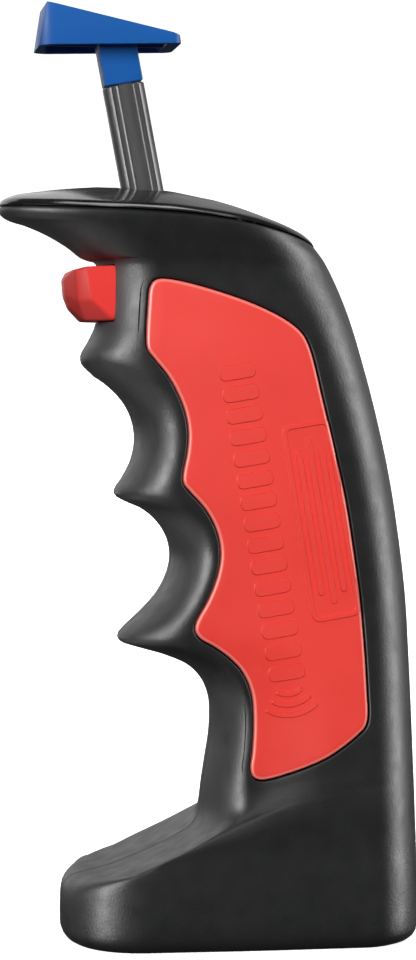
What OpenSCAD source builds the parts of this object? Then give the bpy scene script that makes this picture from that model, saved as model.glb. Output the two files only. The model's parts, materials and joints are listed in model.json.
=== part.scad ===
// Wireless hand controller with a thumb plunger and a front push button.
// Front is -X, the side with no screw heads is -Y, up is +Z. The origin is the middle of the foot's
// underside. Units are millimetres.

/* [Housing] */
// Thickness of the floor and of the top cover
wall = 2.2; // [1.8:0.1:2.4]
// Half width of the foot at its widest
foot_half_w = 19; // [18:0.25:20]
// Half width of the grip between the two inlays
grip_half_w = 15.4; // [15:0.1:16]
// Half width of the top rim
rim_half_w = 17.2; // [16.8:0.1:17.6]
// Height of the top cover's crest above its rim
cover_rise = 5.1; // [4.6:0.1:5.4]

/* [Plunger] */
// Lean of the plunger towards the front, in degrees
plunger_tilt = 10.6; // [9:0.1:11]
// Where the plunger's axis passes through the cover's crest
plunger_x = -11.1; // [-11.8:0.1:-10.5]
// Diameter of the plunger's shaft
shaft_d = 7.0; // [6.6:0.1:7.2]
// Travel of the plunger
plunger_travel = 15; // [12:0.5:15]

/* [Button] */
// Travel of the front button
button_travel = 1.5; // [1:0.1:1.5]
// Half width of the front button
button_half_w = 9.3; // [8.8:0.1:9.3]

/* [Hidden] */

$fn = 48;
gap = 0.08;          // running gap between separate rigid pieces
side_steps = [6, 2, 5]; // segments of a section: nose, side, back
crest_z = 124.8;       // height of the cover's crest at the plunger's axis
sleeve_gap = 0.05;   // radial clearance of sliding round fits

// ---------- outlines of the housing, as [height, value] or [x, height] ----------

// Front edge of the housing in side view, from the foot's underside to the tip of the beak
front_outline = [
    [-23.4, 0], [-24.2, 0.5], [-24.7, 1.5], [-24.8, 3.2], [-24.8, 5.4], [-24.7, 7.6], [-24.3, 9.1],
    [-23.2, 10.2], [-21.6, 10.8], [-18.0, 11.6], [-12.0, 13.8], [-6.5, 16.2], [-2.9, 18.4],
    [-1.7, 20.4], [-1.0, 25.2], [-0.3, 29.5], [0.3, 33.2], [0.5, 36.7], [0.3, 39.6],
    [-0.9, 42.6], [-3.4, 45.2], [-7.8, 47.2], [-12.3, 48.5],
    [-14.9, 49.4], [-15.3, 50.3], [-14.4, 51.5],
    [-11.4, 54.2], [-8.5, 57.4], [-6.8, 60.7], [-6.3, 63.8], [-6.9, 66.6], [-8.5, 69.2],
    [-11.1, 71.4], [-14.2, 72.8],
    [-15.7, 73.8], [-15.7, 74.8], [-14.6, 76.4],
    [-13.0, 79.4], [-12.3, 82.8], [-12.7, 86], [-14.1, 89], [-16.6, 91.7], [-19.4, 93.8],
    [-21.2, 95.6], [-21.4, 97], [-20.2, 99.2], [-18.9, 102],
    [-18.6, 104.8], [-18.6, 108.4], [-18.6, 111.7], [-19.0, 112.6], [-21.2, 113.2],
    [-23.6, 115], [-27.2, 117.1], [-31.0, 118.7], [-33.9, 119.6], [-35.0, 120.6], [-35.0, 121.6]
];

// Height of a section at the back for its height at the front, because the sections lean
back_height = [[0, 0], [3.2, 3.2], [7.6, 9.2], [9.2, 12.4], [10.8, 16.4], [12, 19], [14.2, 22.3],
               [16.6, 25], [18.4, 26.3], [20.4, 27.6], [33.2, 35.7], [57.2, 57.2], [95.2, 95.2],
               [107.2, 106.2], [112.6, 109.8], [117, 112.4], [121.6, 114.8]];
back_x = [[0, 33.0], [0.5, 34.1], [1.5, 34.8], [3.2, 35.0], [9.2, 35.0], [21.2, 34.6], [33.2, 34.2],
          [47.2, 33.6], [57.2, 33.0], [67.2, 31.8], [77.2, 30.2], [87.2, 28.0], [95.2, 25.9],
          [103.2, 23.5], [109.2, 21.1], [112.4, 19.4], [114.8, 17.6]];
nose_end_x = [[0, -11], [9.2, -10.5], [12.4, -10], [14.6, -6.2], [16.9, -1], [18.5, 2.8], [20.4, 4.6],
              [29.2, 5.2], [39.2, 5.2], [45.2, 2.4], [51.2, -4.6], [57.2, -2.4], [64.2, -0.4],
              [69.2, -2], [74.4, -6.4], [81.2, -6.0], [87.2, -6.2], [92.2, -8.4], [97.7, -10.5],
              [103.2, -9.6], [111.2, -9.6], [116.2, -11.5], [121.6, -13]];
back_round = [[0, 10], [21.2, 9.2], [95.2, 9.2], [107.2, 11], [115.2, 14.5], [121.6, rim_half_w - 0.2]];
half_width = [[0, foot_half_w - 1.8], [0.5, foot_half_w - 0.8], [1.5, foot_half_w - 0.2],
              [3.2, foot_half_w], [7.6, foot_half_w - 0.4], [9.2, foot_half_w - 0.7],
              [11.1, foot_half_w - 1.1], [14.2, foot_half_w - 1.3], [16.6, foot_half_w - 1.9],
              [18.4, grip_half_w + 0.8], [20.4, grip_half_w], [23.2, grip_half_w - 0.6],
              [33.2, grip_half_w - 0.6],
              [57.2, grip_half_w], [77.2, grip_half_w + 0.2], [95.2, grip_half_w],
              [104.8, grip_half_w - 0.4], [111.8, grip_half_w - 0.4], [115, grip_half_w + 0.4],
              [118.2, rim_half_w - 0.5], [120.6, rim_half_w - 0.1], [121.6, rim_half_w]];
// How much wider than its nose a section is towards the back, and where along its side it gets there
back_widening = [[0, 0], [3.2, 0], [9.2, 0.15], [11.1, 0.2], [14.2, 0.3], [16.6, 0.6], [18.4, 1.25],
                 [20.4, 1.9], [23.2, 2.25], [33.2, 1.7], [45.2, 0.75], [57.2, 0.1], [65, 0], [121.6, 0]];
widening_end = 0.65;
nose_power = [[0, 2.4], [8, 2.4], [11.1, 2.7], [16.6, 2.7], [18.5, 2.1], [20.4, 2], [121.6, 2.05]];
back_power = 2.1;
side_crown = 0.3;

// Inside of the housing
inner_front_x = [[2.2, -22.6], [7, -22.3], [8.6, -19.6], [10, -16.6], [12.6, -9.6], [15, -3.6],
                 [17, 0.6], [19, 1.8], [23.2, 2], [33.2, 2.6], [39.2, 2.5], [43.2, 1.2], [47.2, -0.7],
                 [51.2, -2.9], [57.2, -4.5], [63.2, -4.5], [67.2, -5.1], [72.2, -7.9], [77.2, -10.1],
                 [83.2, -10.3], [88.2, -11.7], [93.2, -14.3], [97.2, -16.1], [101.2, -16.6],
                 [111.8, -16.6], [113.2, -18.0], [115.2, -20.4], [117.2, -23.8], [119.4, -27.6],
                 [121.6, -31.4]];
inner_half_width = [[2.2, foot_half_w - 2.2], [7, foot_half_w - 2.6], [9.2, 15.9], [11.1, 15.3],
                    [12.4, 14.6], [14.6, 13.8], [18.5, 12.6], [21, 12.2], [33.2, 12], [97.2, 12],
                    [111.2, 12.3], [115.2, 13], [119.2, 14.5], [121.6, rim_half_w - 2.2]];
inner_back_wall = 2.3;
min_inner_nose = 3;

// Opening in the foot's floor that the battery cover closes
hatch_x = [-14, 26];
hatch_half_w = 12.5;
hatch_round = 4;
hatch_power = 4;

// Outline of a grip inlay in side view
inlay_outline = [
    [-12.2, 100.2], [-11.9, 105.2], [-11.6, 107.8], [-10.9, 109], [-9.6, 109.4], [-7.5, 109.2],
    [-3.2, 108.2], [3.2, 106.2], [7.9, 104.3], [11.5, 102.3], [13.6, 100.4], [14.8, 98],
    [17.0, 89.2], [18.9, 81.2], [20.6, 73.7], [22.0, 65.2], [23.1, 57.2], [23.8, 49.2],
    [24.2, 41.7], [24.3, 38], [23.9, 36.2], [22.6, 34.8], [18.5, 31.8], [14.7, 29.9],
    [10.5, 28.3], [8.2, 27.6], [6.5, 27.4], [5.3, 28], [4.9, 29.2], [5.2, 32.2], [5.4, 37.2],
    [5.0, 41.8], [3.6, 45.1], [1.3, 47.6], [-1.2, 49.4], [-3.4, 50.7], [-4.3, 52],
    [-4.1, 53.5], [-2.1, 57.2], [-0.6, 61.2], [-0.1, 64.8], [-0.8, 68.4], [-2.6, 71.8],
    [-5.0, 74.5], [-6.2, 76], [-6.3, 77.4], [-5.6, 81.2], [-5.4, 84.4], [-6.0, 87.8],
    [-7.2, 90.8], [-8.8, 93.6], [-10.9, 96.2], [-12.0, 97.7], [-12.2, 98.7]
];
inlay_floor_y = 13.4;    // distance of the inlay's seat from the middle plane

// Housing screws: [x, z, reach of the post into the side wall]
screw_posts = [[11.8, 107.2, 13.2], [27.4, 30.2, 12.8], [-18.6, 7.6, 15.6], [-16, 96.4, 9]];
post_r = 2.7;
head_seat_y = 6.5;       // the heads seat this far from the middle plane
head_r = 2.2;
shank_r = 1.0;

// Plunger assembly, as heights along its axis above the cover's crest
guide_top = -4.1;
guide_bottom = -27;
guide_r = 4.6;
collar_top = -8.1;
collar_bottom = -11.9;
collar_r = 6;
bumper_h = 2;
carriage_top = guide_bottom - bumper_h - gap;
carriage_h = 12;
shaft_top = 17.4;
cap_stem_h = 12;
seat_top = -64;
seat_r = 4.9;
rib_h = 2;
spring_wire_r = 0.35;
spring_coil_r = 3.6;
spring_turns = 9;

// Circuit board, as an outline in side view between two planes parallel to the middle plane
board_y = 8.3;
board_t = 1.6;
board_outline = [[7, 40.2], [27.3, 40.2], [26.8, 55.2], [24, 77.2], [19.3, 97.2], [17.5, 101],
                 [8.4, 101.6], [8.4, 107.7], [-11.7, 107.7], [-11.7, 100.2], [-8.5, 93.2], [-7.8, 81.2],
                 [-2.8, 71.2], [-2.4, 61.2], [1.7, 53.2], [6.7, 47.2]];
board_posts = [[23, 45.2], [14.4, 98.6], [9.5, 57.2]];
track_t = 0.12;

// Front button
button_crown = [[-23.8, 110.8], [-24.5, 109.5], [-24.3, 106.8], [-23.5, 104.7]]; // middle of the face
button_front = [[-23.1, 111], [-22.5, 105.8]];   // side edges of the front face, top and bottom
button_front_half_w = 7;
button_sides = [[-21.4, 111.4], [-20.4, 105.9]]; // front edges of the side faces, top and bottom
button_side_foot = 103.2;                        // bottom of the side faces at the housing
button_toe = [-21.2, 5];                         // corner of the underside, x and half width
button_z = [102.6, 111.6];
button_foot_half_w = 8.7; // half width of its underside, between the two chamfers
button_back_x = -12.1 - button_travel; // pressed fully, it stops short of the circuit board
button_core_x = -17.4;   // the button's middle is hollow behind this

// Thumb cap, in side view and in plan
cap_side = [[-28.7, 147.6], [-27.5, 154.7], [-6.8, 150.0], [-5.6, 149.6], [-5.3, 148.2]];
cap_hollow = [[-27.6, 147], [-26.6, 153.2], [-8.2, 149.0], [-6.7, 147]];
cap_x = [-28.9, -5.3];
cap_half_w = 7.4;
cap_corners = [3.2, 1.6];
cap_wall = 1.2;

// Wires, as routes of their middle lines
wire_r = 0.6;
battery_lead_routes = [
    [[18.5, 4, 7], [21.8, 4.2, 8.2], [25.2, 4.4, 12.2], [26.6, 4.6, 17.6], [25.2, 4.7, 24.4],
     [21, 4.8, 30.2], [14, 5.1, 34.6], [10.8, 6, 38.6]],
    [[18.5, 0, 7], [21.4, 0.4, 8.4], [23.8, 1.4, 12.4], [24.6, 2.6, 17.6], [22.2, 3.4, 23.7],
     [15, 4.4, 28.8], [9.4, 5.2, 33.6], [8, 6, 38.6]]
];
charge_lead_routes = [
    [[-16.9, 6, 4.1], [-15.2, 6, 4.4], [-14.2, 6.2, 7], [-13.3, 6.4, 9.6], [-10.2, 6.6, 11.2],
     [-3, 6.8, 13.4], [3, 7.1, 17.4], [7.6, 7.4, 25], [11.4, 7.6, 33], [14.4, 7.6, 40],
     [15.5, 7.6, 44.7]],
    [[-16.9, -6, 4.1], [-15.2, -6, 4.4], [-14.2, -5.8, 7], [-13.3, -5.2, 9.6], [-10.2, -4.2, 11.2],
     [-3, 0, 13.4], [4.4, 4.4, 17], [10.6, 7, 22], [15.4, 7.5, 29], [18, 7.6, 35],
     [19, 7.6, 40], [19, 7.6, 44.7]]
];

// ---------- curves and sections ----------

// Smooth curve through points, with n pieces between neighbours (centripetal Catmull-Rom)
function knot(a, b) = sqrt(norm(b - a));
function blend_points(p, q, a, b, t) = p * (b - t) / (b - a) + q * (t - a) / (b - a);
function curve_point(p0, p1, p2, p3, f) =
    let (t1 = knot(p0, p1), t2 = t1 + knot(p1, p2), t3 = t2 + knot(p2, p3), t = t1 + (t2 - t1) * f)
    let (a1 = blend_points(p0, p1, 0, t1, t), a2 = blend_points(p1, p2, t1, t2, t),
         a3 = blend_points(p2, p3, t2, t3, t))
    blend_points(blend_points(a1, a2, 0, t2, t), blend_points(a2, a3, t1, t3, t), t1, t2, t);
function open_curve(pts, n) =
    let (m = len(pts), ext = concat([2 * pts[0] - pts[1]], pts, [2 * pts[m - 1] - pts[m - 2]]))
    concat([for (i = [0 : m - 2], k = [0 : n - 1])
                curve_point(ext[i], ext[i + 1], ext[i + 2], ext[i + 3], k / n)], [pts[m - 1]]);
function closed_curve(pts, n) =
    let (m = len(pts))
    [for (i = [0 : m - 1], k = [0 : n - 1])
        curve_point(pts[(i + m - 1) % m], pts[i], pts[(i + 1) % m], pts[(i + 2) % m], k / n)];
smooth_table_steps = 4;
function smooth(table) = open_curve(table, smooth_table_steps);
nose_end_smooth = smooth(nose_end_x);
half_width_smooth = smooth(half_width);
back_widening_smooth = smooth(back_widening);
back_x_smooth = smooth(back_x);

// Half a section, from the front of the middle plane round the -Y side to the back of it.
// front, back: x of its ends; w, wb: half widths at the nose and the back; p, q: their lengths.
function eased(f) = let (t = min(1, f / widening_end)) t * t * (3 - 2 * t);
function section_xy(front, back, w, wb, p, q, np, nq) = concat(
    [for (j = [0 : side_steps[0]])
        let (a = 90 * j / side_steps[0])
        [front + p * (1 - pow(cos(a), 2 / np)), -w * pow(sin(a), 2 / np)]],
    [for (j = [1 : side_steps[1] - 1])
        let (f = j / side_steps[1], x0 = front + p, x1 = back - q)
        [x0 + (x1 - x0) * f, -w - (wb - w) * eased(f) - side_crown * 4 * f * (1 - f)]],
    [for (j = [side_steps[2] : -1 : 0])
        let (a = 90 * j / side_steps[2])
        [back - q * (1 - pow(cos(a), 2 / nq)), -wb * pow(sin(a), 2 / nq)]]);
// Height at x on a section that leans from zf at the front to zb at the back, bowed upwards
function leaned(x, front, back, zf, zb) =
    let (f = (x - front) / (back - front), bow = zb > zf ? 1.5 : 0.2 + 1.8 * f)
    zf + (zb - zf) * f + abs(zb - zf) * bow * f * (1 - f);

function outer_ring(k) =
    let (front = front_outline[k][0], zf = front_outline[k][1], zb = lookup(zf, back_height),
         back = lookup(zb, back_x_smooth), p = lookup(zf, nose_end_smooth) - front,
         w = lookup(zf, half_width_smooth))
    [for (s = section_xy(front, back, w, w + lookup(zf, back_widening_smooth), p,
                         lookup(zf, back_round), lookup(zf, nose_power), back_power))
        [s[0], s[1], leaned(s[0], front, back, zf, zb)]];

// Inner sections start at the top of the floor
floor_end = 5;
inner_rim_drop = 0.2;    // the rim's inner edge stays under the cover
function above_floor(z) = z < floor_end ? wall + z * (floor_end - wall) / floor_end : z;
function inner_ring(k) =
    let (z0 = front_outline[k][1], zf = above_floor(z0), zb = above_floor(lookup(z0, back_height)),
         front = lookup(zf, inner_front_x), back = lookup(zb, back_x_smooth) - inner_back_wall,
         p = max(min_inner_nose, lookup(zf, nose_end_smooth) - front), w = lookup(zf, inner_half_width))
    [for (s = section_xy(front, back, w, w, p, lookup(z0, back_round) - inner_back_wall,
                         lookup(zf, nose_power), back_power))
        [s[0], s[1] * w / (w + side_crown),
         leaned(s[0], front, back, zf, zb) - (k == last ? inner_rim_drop : 0)]];
function hatch_ring(z, inset) =
    let (w = hatch_half_w - inset)
    [for (s = section_xy(hatch_x[0] + inset, hatch_x[1] - inset, w, w, hatch_round, hatch_round,
                         hatch_power, hatch_power))
        [s[0], s[1], z]];

last = len(front_outline) - 1;
ring_points = side_steps[0] + side_steps[1] + side_steps[2] + 1;

// Triangles of a grid of rings of n points; a strip between ring a and ring b
function strip(a, b, n) = [for (j = [0 : n - 2]) each [
    [a * n + j, b * n + j, b * n + j + 1], [a * n + j, b * n + j + 1, a * n + j + 1]]];
function quad(a, b, c, d) = [[a, b, c], [a, c, d]];

// A closed band of rings on one side of the middle plane; ring k faces ring m-1-k across the wall
module half_band(rings) {
    n = len(rings[0]);
    m = len(rings);
    sides = [for (i = [0 : m - 1]) each strip(i, (i + 1) % m, n)];
    ends = [for (k = [0 : m / 2 - 2], e = [0, n - 1])
        let (a = k * n + e, b = (k + 1) * n + e, c = (m - 2 - k) * n + e, d = (m - 1 - k) * n + e)
        each (e == 0 ? quad(a, d, c, b) : quad(a, b, c, d))];
    polyhedron([for (r = rings) each r], concat(sides, ends), 10);
}

module half_housing() {
    outer = concat([hatch_ring(0, 0)], [for (k = [0 : last]) outer_ring(k)]);
    inner = concat([for (k = [last : -1 : 0]) inner_ring(k)], [hatch_ring(wall, 0)]);
    half_band(concat(outer, inner));
}

// The solid inside the housing's outer face on the -Y side, between two sections
module half_skin(first, end) {
    rings = [for (k = [first : end]) outer_ring(k)];
    n = ring_points;
    m = len(rings);
    sides = [for (i = [0 : m - 2]) each strip(i, i + 1, n)];
    middle = [for (i = [0 : m - 2]) each quad(i * n, i * n + n - 1, (i + 1) * n + n - 1, (i + 1) * n)];
    under = [for (j = [1 : n - 2]) [0, j, j + 1]];
    over = [for (j = [1 : n - 2]) [(m - 1) * n, (m - 1) * n + j + 1, (m - 1) * n + j]];
    polyhedron([for (r = rings) each r], concat(sides, middle, under, over), 10);
}

// ---------- placing ----------

module along_plunger(s = 0)
    translate([plunger_x, 0, crest_z]) rotate([0, -plunger_tilt, 0]) translate([0, 0, s]) children();
// A side view outline made solid between two planes
module slab(y0, y1) translate([0, y1, 0]) rotate([90, 0, 0]) linear_extrude(y1 - y0) children();
module rod_y(x, z, y0, y1, r) translate([x, y0, z]) rotate([-90, 0, 0]) cylinder(y1 - y0, r = r);
module rod_x(x0, x1, y, z, r) translate([x0, y, z]) rotate([0, 90, 0]) cylinder(x1 - x0, r = r);
function about(middle, half) = [middle - half, middle + half];
module block(x, y, z) translate([x[0], y[0], z[0]]) cube([x[1] - x[0], y[1] - y[0], z[1] - z[0]]);
module rounded_rect(w, d, r) {
    square([w - 2 * r, d], center = true);
    square([w, d - 2 * r], center = true);
    for (x = [-1, 1], y = [-1, 1]) translate([x * (w / 2 - r), y * (d / 2 - r)]) circle(r);
}

// A round wire along a route; every second step of the smooth curve is a ring
wire_sides = 8;
module wire(route, r) {
    path = open_curve(route, 2);
    n = wire_sides;
    m = len(path);
    function heading(i) =
        let (d = path[min(i + 1, m - 1)] - path[max(i - 1, 0)]) d / norm(d);
    rings = [for (i = [0 : m - 1])
        let (t = heading(i), u = cross(t, [0.1, 1, 0]), a = u / norm(u), b = cross(t, a))
        [for (k = [0 : n - 1]) path[i] + r * (a * cos(360 * k / n) + b * sin(360 * k / n))]];
    sides = [for (i = [0 : m - 2], k = [0 : n - 1])
        each quad(i * n + k, (i + 1) * n + k, (i + 1) * n + (k + 1) % n, i * n + (k + 1) % n)];
    ends = [[for (k = [0 : n - 1]) k], [for (k = [n - 1 : -1 : 0]) (m - 1) * n + k]];
    polyhedron([for (q = rings) each q], concat(sides, ends), 10);
}

// A coil spring along +Z, from 0 to h, whose wire is a polygon of 6 sides
coil_steps = 14;
module coil(h, coil_r, wire, turns) {
    n = 6;
    m = turns * coil_steps + 1;
    rings = [for (i = [0 : m - 1])
        let (a = 360 * i / coil_steps, z = wire + (h - 2 * wire) * i / (m - 1))
        [for (k = [0 : n - 1])
            let (rr = coil_r + wire * cos(360 * k / n))
            [rr * cos(a), rr * sin(a), z + wire * sin(360 * k / n)]]];
    sides = [for (i = [0 : m - 2], k = [0 : n - 1])
        each quad(i * n + k, i * n + (k + 1) % n, (i + 1) * n + (k + 1) % n, (i + 1) * n + k)];
    ends = [[for (k = [n - 1 : -1 : 0]) k], [for (k = [0 : n - 1]) (m - 1) * n + k]];
    polyhedron([for (q = rings) each q], concat(sides, ends), 10);
}

// ---------- housing ----------

// Ribs that hold the plunger's guide and its spring seat, on the -Y side.
// Each guide rib is [height along the plunger, front end, reach into the side wall].
module guide_ribs() {
    for (r = [[collar_top + gap, -7.5, 13.6], [collar_bottom - gap - rib_h, -2.4, 12.8]])
        along_plunger(r[0]) difference() {
            translate([r[1], -r[2], 0]) cube([7.5 - r[1], r[2], rib_h]);
            translate([0, 0, -1]) cylinder(rib_h + 2, r = guide_r + sleeve_gap);
        }
    along_plunger(seat_top - 2 * rib_h - gap - 0.6) translate([-6.8, -8, 0]) cube([11.8, 8, rib_h]);
}

// The button's window and the charge contact's slot, cut in both halves
contact_x = [-20.3, -17.1];
contact_half = 3.4;
contact_y = 6;
module shell_openings() {
    block([-32, -12], [-button_half_w - 0.2, button_half_w + 0.2], button_z + [-0.2, 0.2]);
    for (s = [-1, 1]) block(contact_x, about(s * contact_y, contact_half), [-1, wall + 1]);
}

module inlay_pocket() slab(-40, -inlay_floor_y)
    offset(delta = gap) polygon(closed_curve(inlay_outline, 2));

// Posts that the battery cover's two screws go into, standing on the floor behind the hatch
cover_screw = [22.6, 9];
module cover_post() {
    difference() {
        union() {
            translate([cover_screw[0], -cover_screw[1], wall + 0.3]) cylinder(11, r = 2.6);
            block([cover_screw[0] + 1, 32.6], [-cover_screw[1] - 1, -cover_screw[1] + 1], [wall + 0.3, 11]);
            block([26.6, 32.6], [-cover_screw[1] - 1, -cover_screw[1] + 1], [wall - 1, 11]);
        }
        translate([cover_screw[0], -cover_screw[1], 0]) cylinder(9, r = shank_r + sleeve_gap);
    }
}

module left_shell() color("#26272a") difference() {
    union() {
        half_housing();
        guide_ribs();
        cover_post();
        for (p = screw_posts) rod_y(p[0], p[1], -p[2], 0, post_r);
    }
    inlay_pocket();
    shell_openings();
    for (p = screw_posts) rod_y(p[0], p[1], -7.5, 1, shank_r + sleeve_gap);
}

module right_shell() color("#26272a") difference() {
    union() {
        mirror([0, 1, 0]) {
            half_housing();
            guide_ribs();
            cover_post();
        }
        for (p = screw_posts) rod_y(p[0], p[1], 0, p[2], post_r);
        for (p = board_posts) rod_y(p[0], p[1], board_y + board_t, 12.6, 2.2);
    }
    mirror([0, 1, 0]) inlay_pocket();
    shell_openings();
    for (p = screw_posts) {
        rod_y(p[0], p[1], -1, 30, shank_r + 0.3);
        rod_y(p[0], p[1], head_seat_y, 30, head_r + 0.3);
    }
    for (p = board_posts) rod_y(p[0], p[1], 0, 12.2, 0.8 + sleeve_gap);
}

// Domed cover of the top: rings at growing distances from the rim, above and below
cover_insets = [0, 0.35, 1, 2.4, 4.5, 7.5, 10.5, 13.5, rim_half_w - 1];
edge_round = 0.7;
// How much of the dome's height the cover has along its length
dome_ease = [[-35, 1.3], [-32.5, 1.15], [-31, 0.95], [-29, 0.8], [-26, 0.71], [-22, 0.64], [-18, 0.6],
             [-13, 0.63], [-7, 0.62], [-4.8, 0.57], [-2, 0.51], [1.5, 0.47], [3.5, 0.465], [7, 0.45],
             [9, 0.45], [11, 0.475], [14, 0.52], [17.6, 0.6]];
function dome(d) =
    edge_round * sqrt(1 - pow(1 - min(d, 1), 2))
    + (cover_rise - edge_round) * (1 - pow(1 - d / rim_half_w, 2));
rim_front = front_outline[last][0];
rim_z = front_outline[last][1];
rim_back_z = lookup(rim_z, back_height);
rim_back = lookup(rim_back_z, back_x_smooth);
function rim_height(x) = leaned(x, rim_front, rim_back, rim_z, rim_back_z);
function cover_ring(d, drop) =
    let (half = section_xy(rim_front + d, rim_back - d, rim_half_w - d, rim_half_w - d,
                           lookup(rim_z, nose_end_smooth) - rim_front - d,
                           lookup(rim_z, back_round) - d, lookup(rim_z, nose_power), back_power),
         ring = [for (s = half) [s[0], s[1], rim_height(s[0])
                 + (d == 0 ? gap : max(gap, dome(d * lookup(s[0], dome_ease)) - drop))]])
    concat(ring, [for (j = [len(ring) - 2 : -1 : 1]) [ring[j][0], -ring[j][1], ring[j][2]]]);

module cover_dome() {
    inner_first = 3;
    outer = [for (d = cover_insets) cover_ring(d, 0)];
    inner = [for (i = [len(cover_insets) - 1 : -1 : inner_first]) cover_ring(cover_insets[i], wall - 0.2)];
    rings = concat(outer, inner);
    n = len(rings[0]);
    m = len(rings);
    top_of = len(outer) - 1;
    sides = [for (i = [0 : m - 1], j = [0 : n - 1]) if (i != top_of)
        let (i2 = (i + 1) % m, j2 = (j + 1) % n)
        each quad(i * n + j, i2 * n + j, i2 * n + j2, i * n + j2)];
    function cap(i, flip) = [for (j = [0 : ring_points - 2])
        let (a = i * n + j, b = i * n + j + 1, c = i * n + (n - j - 1) % n, d = i * n + (n - j) % n)
        each (flip ? quad(a, b, c, d) : quad(a, d, c, b))];
    polyhedron([for (r = rings) each r],
               [for (t = concat(sides, cap(top_of, false), cap(top_of + 1, true)))
                   if (t[0] != t[1] && t[1] != t[2] && t[0] != t[2]) t], 10);
}

lens_x = 6;
lens_r = 1.5;
module top_cover() color("#1b1c1e") difference() {
    union() {
        cover_dome();
        for (y = [-1, 1]) block([7.4, 10.6], about(y * 10.6, 0.8), [111.7, 118.4]);
        block([-22, -19], [-3, 3], [117, 123.4]);
    }
    along_plunger(-20) cylinder(40, r = shaft_d / 2 + 0.35);
    translate([lens_x, 0, 100]) cylinder(40, r = lens_r + 0.1);
}

module grip_inlay() intersection() {
    half_skin(12, last - 4);
    slab(-40, -inlay_floor_y - gap) polygon(closed_curve(inlay_outline, 2));
}
module left_grip_inlay() color("#e8372c") grip_inlay();
module right_grip_inlay() color("#e8372c") mirror([0, 1, 0]) grip_inlay();

module battery_cover() color("#26272a") difference() {
    union() {
        for (s = [0, 1]) mirror([0, s, 0]) linear_extrude(wall - 0.2)
            polygon([for (p = hatch_ring(0, 0.15)) [p[0], p[1]]]);
        block([hatch_x[0] + 3, hatch_x[0] + 7], [-8, 8], [wall - 0.3, wall + 1.2]);
        block([hatch_x[0] - 2.2, hatch_x[0] + 7], [-8, 8], [wall + gap, wall + 1.2]);
    }
    for (y = [-1, 1]) translate([cover_screw[0], y * cover_screw[1], -1]) {
        cylinder(5, r = shank_r + 0.2);
        cylinder(1.9, r = head_r + 0.2);
    }
}

// A pan-head screw with a cross slot, pointing along +Z with its head's seat at 0
module screw(length, head, shank, head_h) difference() {
    union() {
        cylinder(length, r = shank);
        translate([0, 0, -head_h]) cylinder(head_h, r = head);
    }
    for (a = [0, 90]) rotate([0, 0, a]) translate([-head * 0.62, -0.3, -head_h - 1])
        cube([head * 1.24, 0.6, 1 + head_h * 0.45]);
}
module battery_cover_screws() color("#c9ccd0") for (y = [-1, 1])
    translate([cover_screw[0], y * cover_screw[1], 0.9]) screw(7, head_r, shank_r, 0.8);
module housing_screws() color("#c9ccd0") for (p = screw_posts)
    translate([p[0], head_seat_y, p[1]]) rotate([90, 0, 0]) screw(12.5, head_r, shank_r, 1.5);
module charge_contacts() color("#d8b45a") for (s = [-1, 1]) {
    block(contact_x + [gap, -gap], about(s * contact_y, contact_half - gap), [0.1, wall + 0.4]);
    block(contact_x + [-0.6, 0.6], about(s * contact_y, contact_half + 0.6), [wall + gap, wall + 0.9]);
}

// A clear light pipe from the board's lamp to the cover
lens_low_z = 111.2;
lens_top_z = 120.8;
lamp_y = 6.6;
module status_lens() color("#dfe8ee") {
    translate([lens_x, 0, lens_low_z]) cylinder(lens_top_z - lens_low_z, r = lens_r);
    translate([lens_x, 0, lens_low_z]) sphere(lens_r);
    translate([lens_x, 0, lens_low_z]) rotate([-130, 0, 0]) cylinder(6.4, r = lens_r);
}

// ---------- plunger ----------

module plunger_guide() color("#e9e9e4") difference() {
    union() {
        along_plunger(guide_bottom) cylinder(guide_top - guide_bottom, r = guide_r);
        along_plunger(collar_bottom) cylinder(collar_top - collar_bottom, r = collar_r);
        rod_x(-13.2, -8, 0, 107, 2);
    }
    along_plunger(guide_bottom - 1) cylinder(40, r = shaft_d / 2 + sleeve_gap);
}

module stop_bumper() color("#3a3a3a") along_plunger(guide_bottom - bumper_h) difference() {
    cylinder(bumper_h, r = guide_r);
    translate([0, 0, -1]) cylinder(4, r = shaft_d / 2 + 0.3);
}

module spring_seat() color("#e9e9e4") along_plunger(seat_top - rib_h - 0.6) {
    cylinder(rib_h + 0.6, r = seat_r);
    cylinder(rib_h + 4, r = 2.6);
}

// The shaft: a rod with flutes along the part that shows, and a peg at each end
flute_r = 0.7;
module plunger_shaft() color("#2b2b2d") along_plunger() difference() {
    union() {
        translate([0, 0, carriage_top]) cylinder(shaft_top - carriage_top, r = shaft_d / 2);
        translate([0, 0, carriage_top - 6]) cylinder(6.5, r = 2);
        translate([0, 0, shaft_top - 1]) cylinder(5, r = 1.8);
    }
    for (a = [60, 120, 240, 300]) rotate([0, 0, a])
        translate([shaft_d / 2 + 0.15, 0, -1]) cylinder(20, r = flute_r);
}

// The cap's stem, a bar cut off inside the cap's roof
cap_stem_size = [6.4, 5.4];
cap_roof_half = [0, cap_wall / 2];
module cap_stem() intersection() {
    along_plunger(shaft_top + gap) translate([-cap_stem_size[0] / 2, -cap_stem_size[1] / 2, 0])
        cube([cap_stem_size[0], cap_stem_size[1], cap_stem_h]);
    slab(-cap_half_w, cap_half_w) polygon([cap_side[1] - cap_roof_half, cap_side[2] - cap_roof_half,
                                           [cap_side[2][0], crest_z], [cap_side[1][0], crest_z]]);
}
function corner(x, y, r, from) = [for (a = [0 : 15 : 90]) [x + r * cos(from + a), y + r * sin(from + a)]];
module cap_plan(inset) {
    h = cap_half_w - inset;
    r = [for (c = cap_corners) max(c - inset, 0.4)];
    x = [cap_x[0] + inset + r[0], cap_x[1] - inset - r[1]];
    translate([0, 0, 140]) linear_extrude(30) polygon(concat(
        corner(x[1], h - r[1], r[1], 0), corner(x[0], h - r[0], r[0], 90),
        corner(x[0], r[0] - h, r[0], 180), corner(x[1], r[1] - h, r[1], 270)));
}
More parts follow.
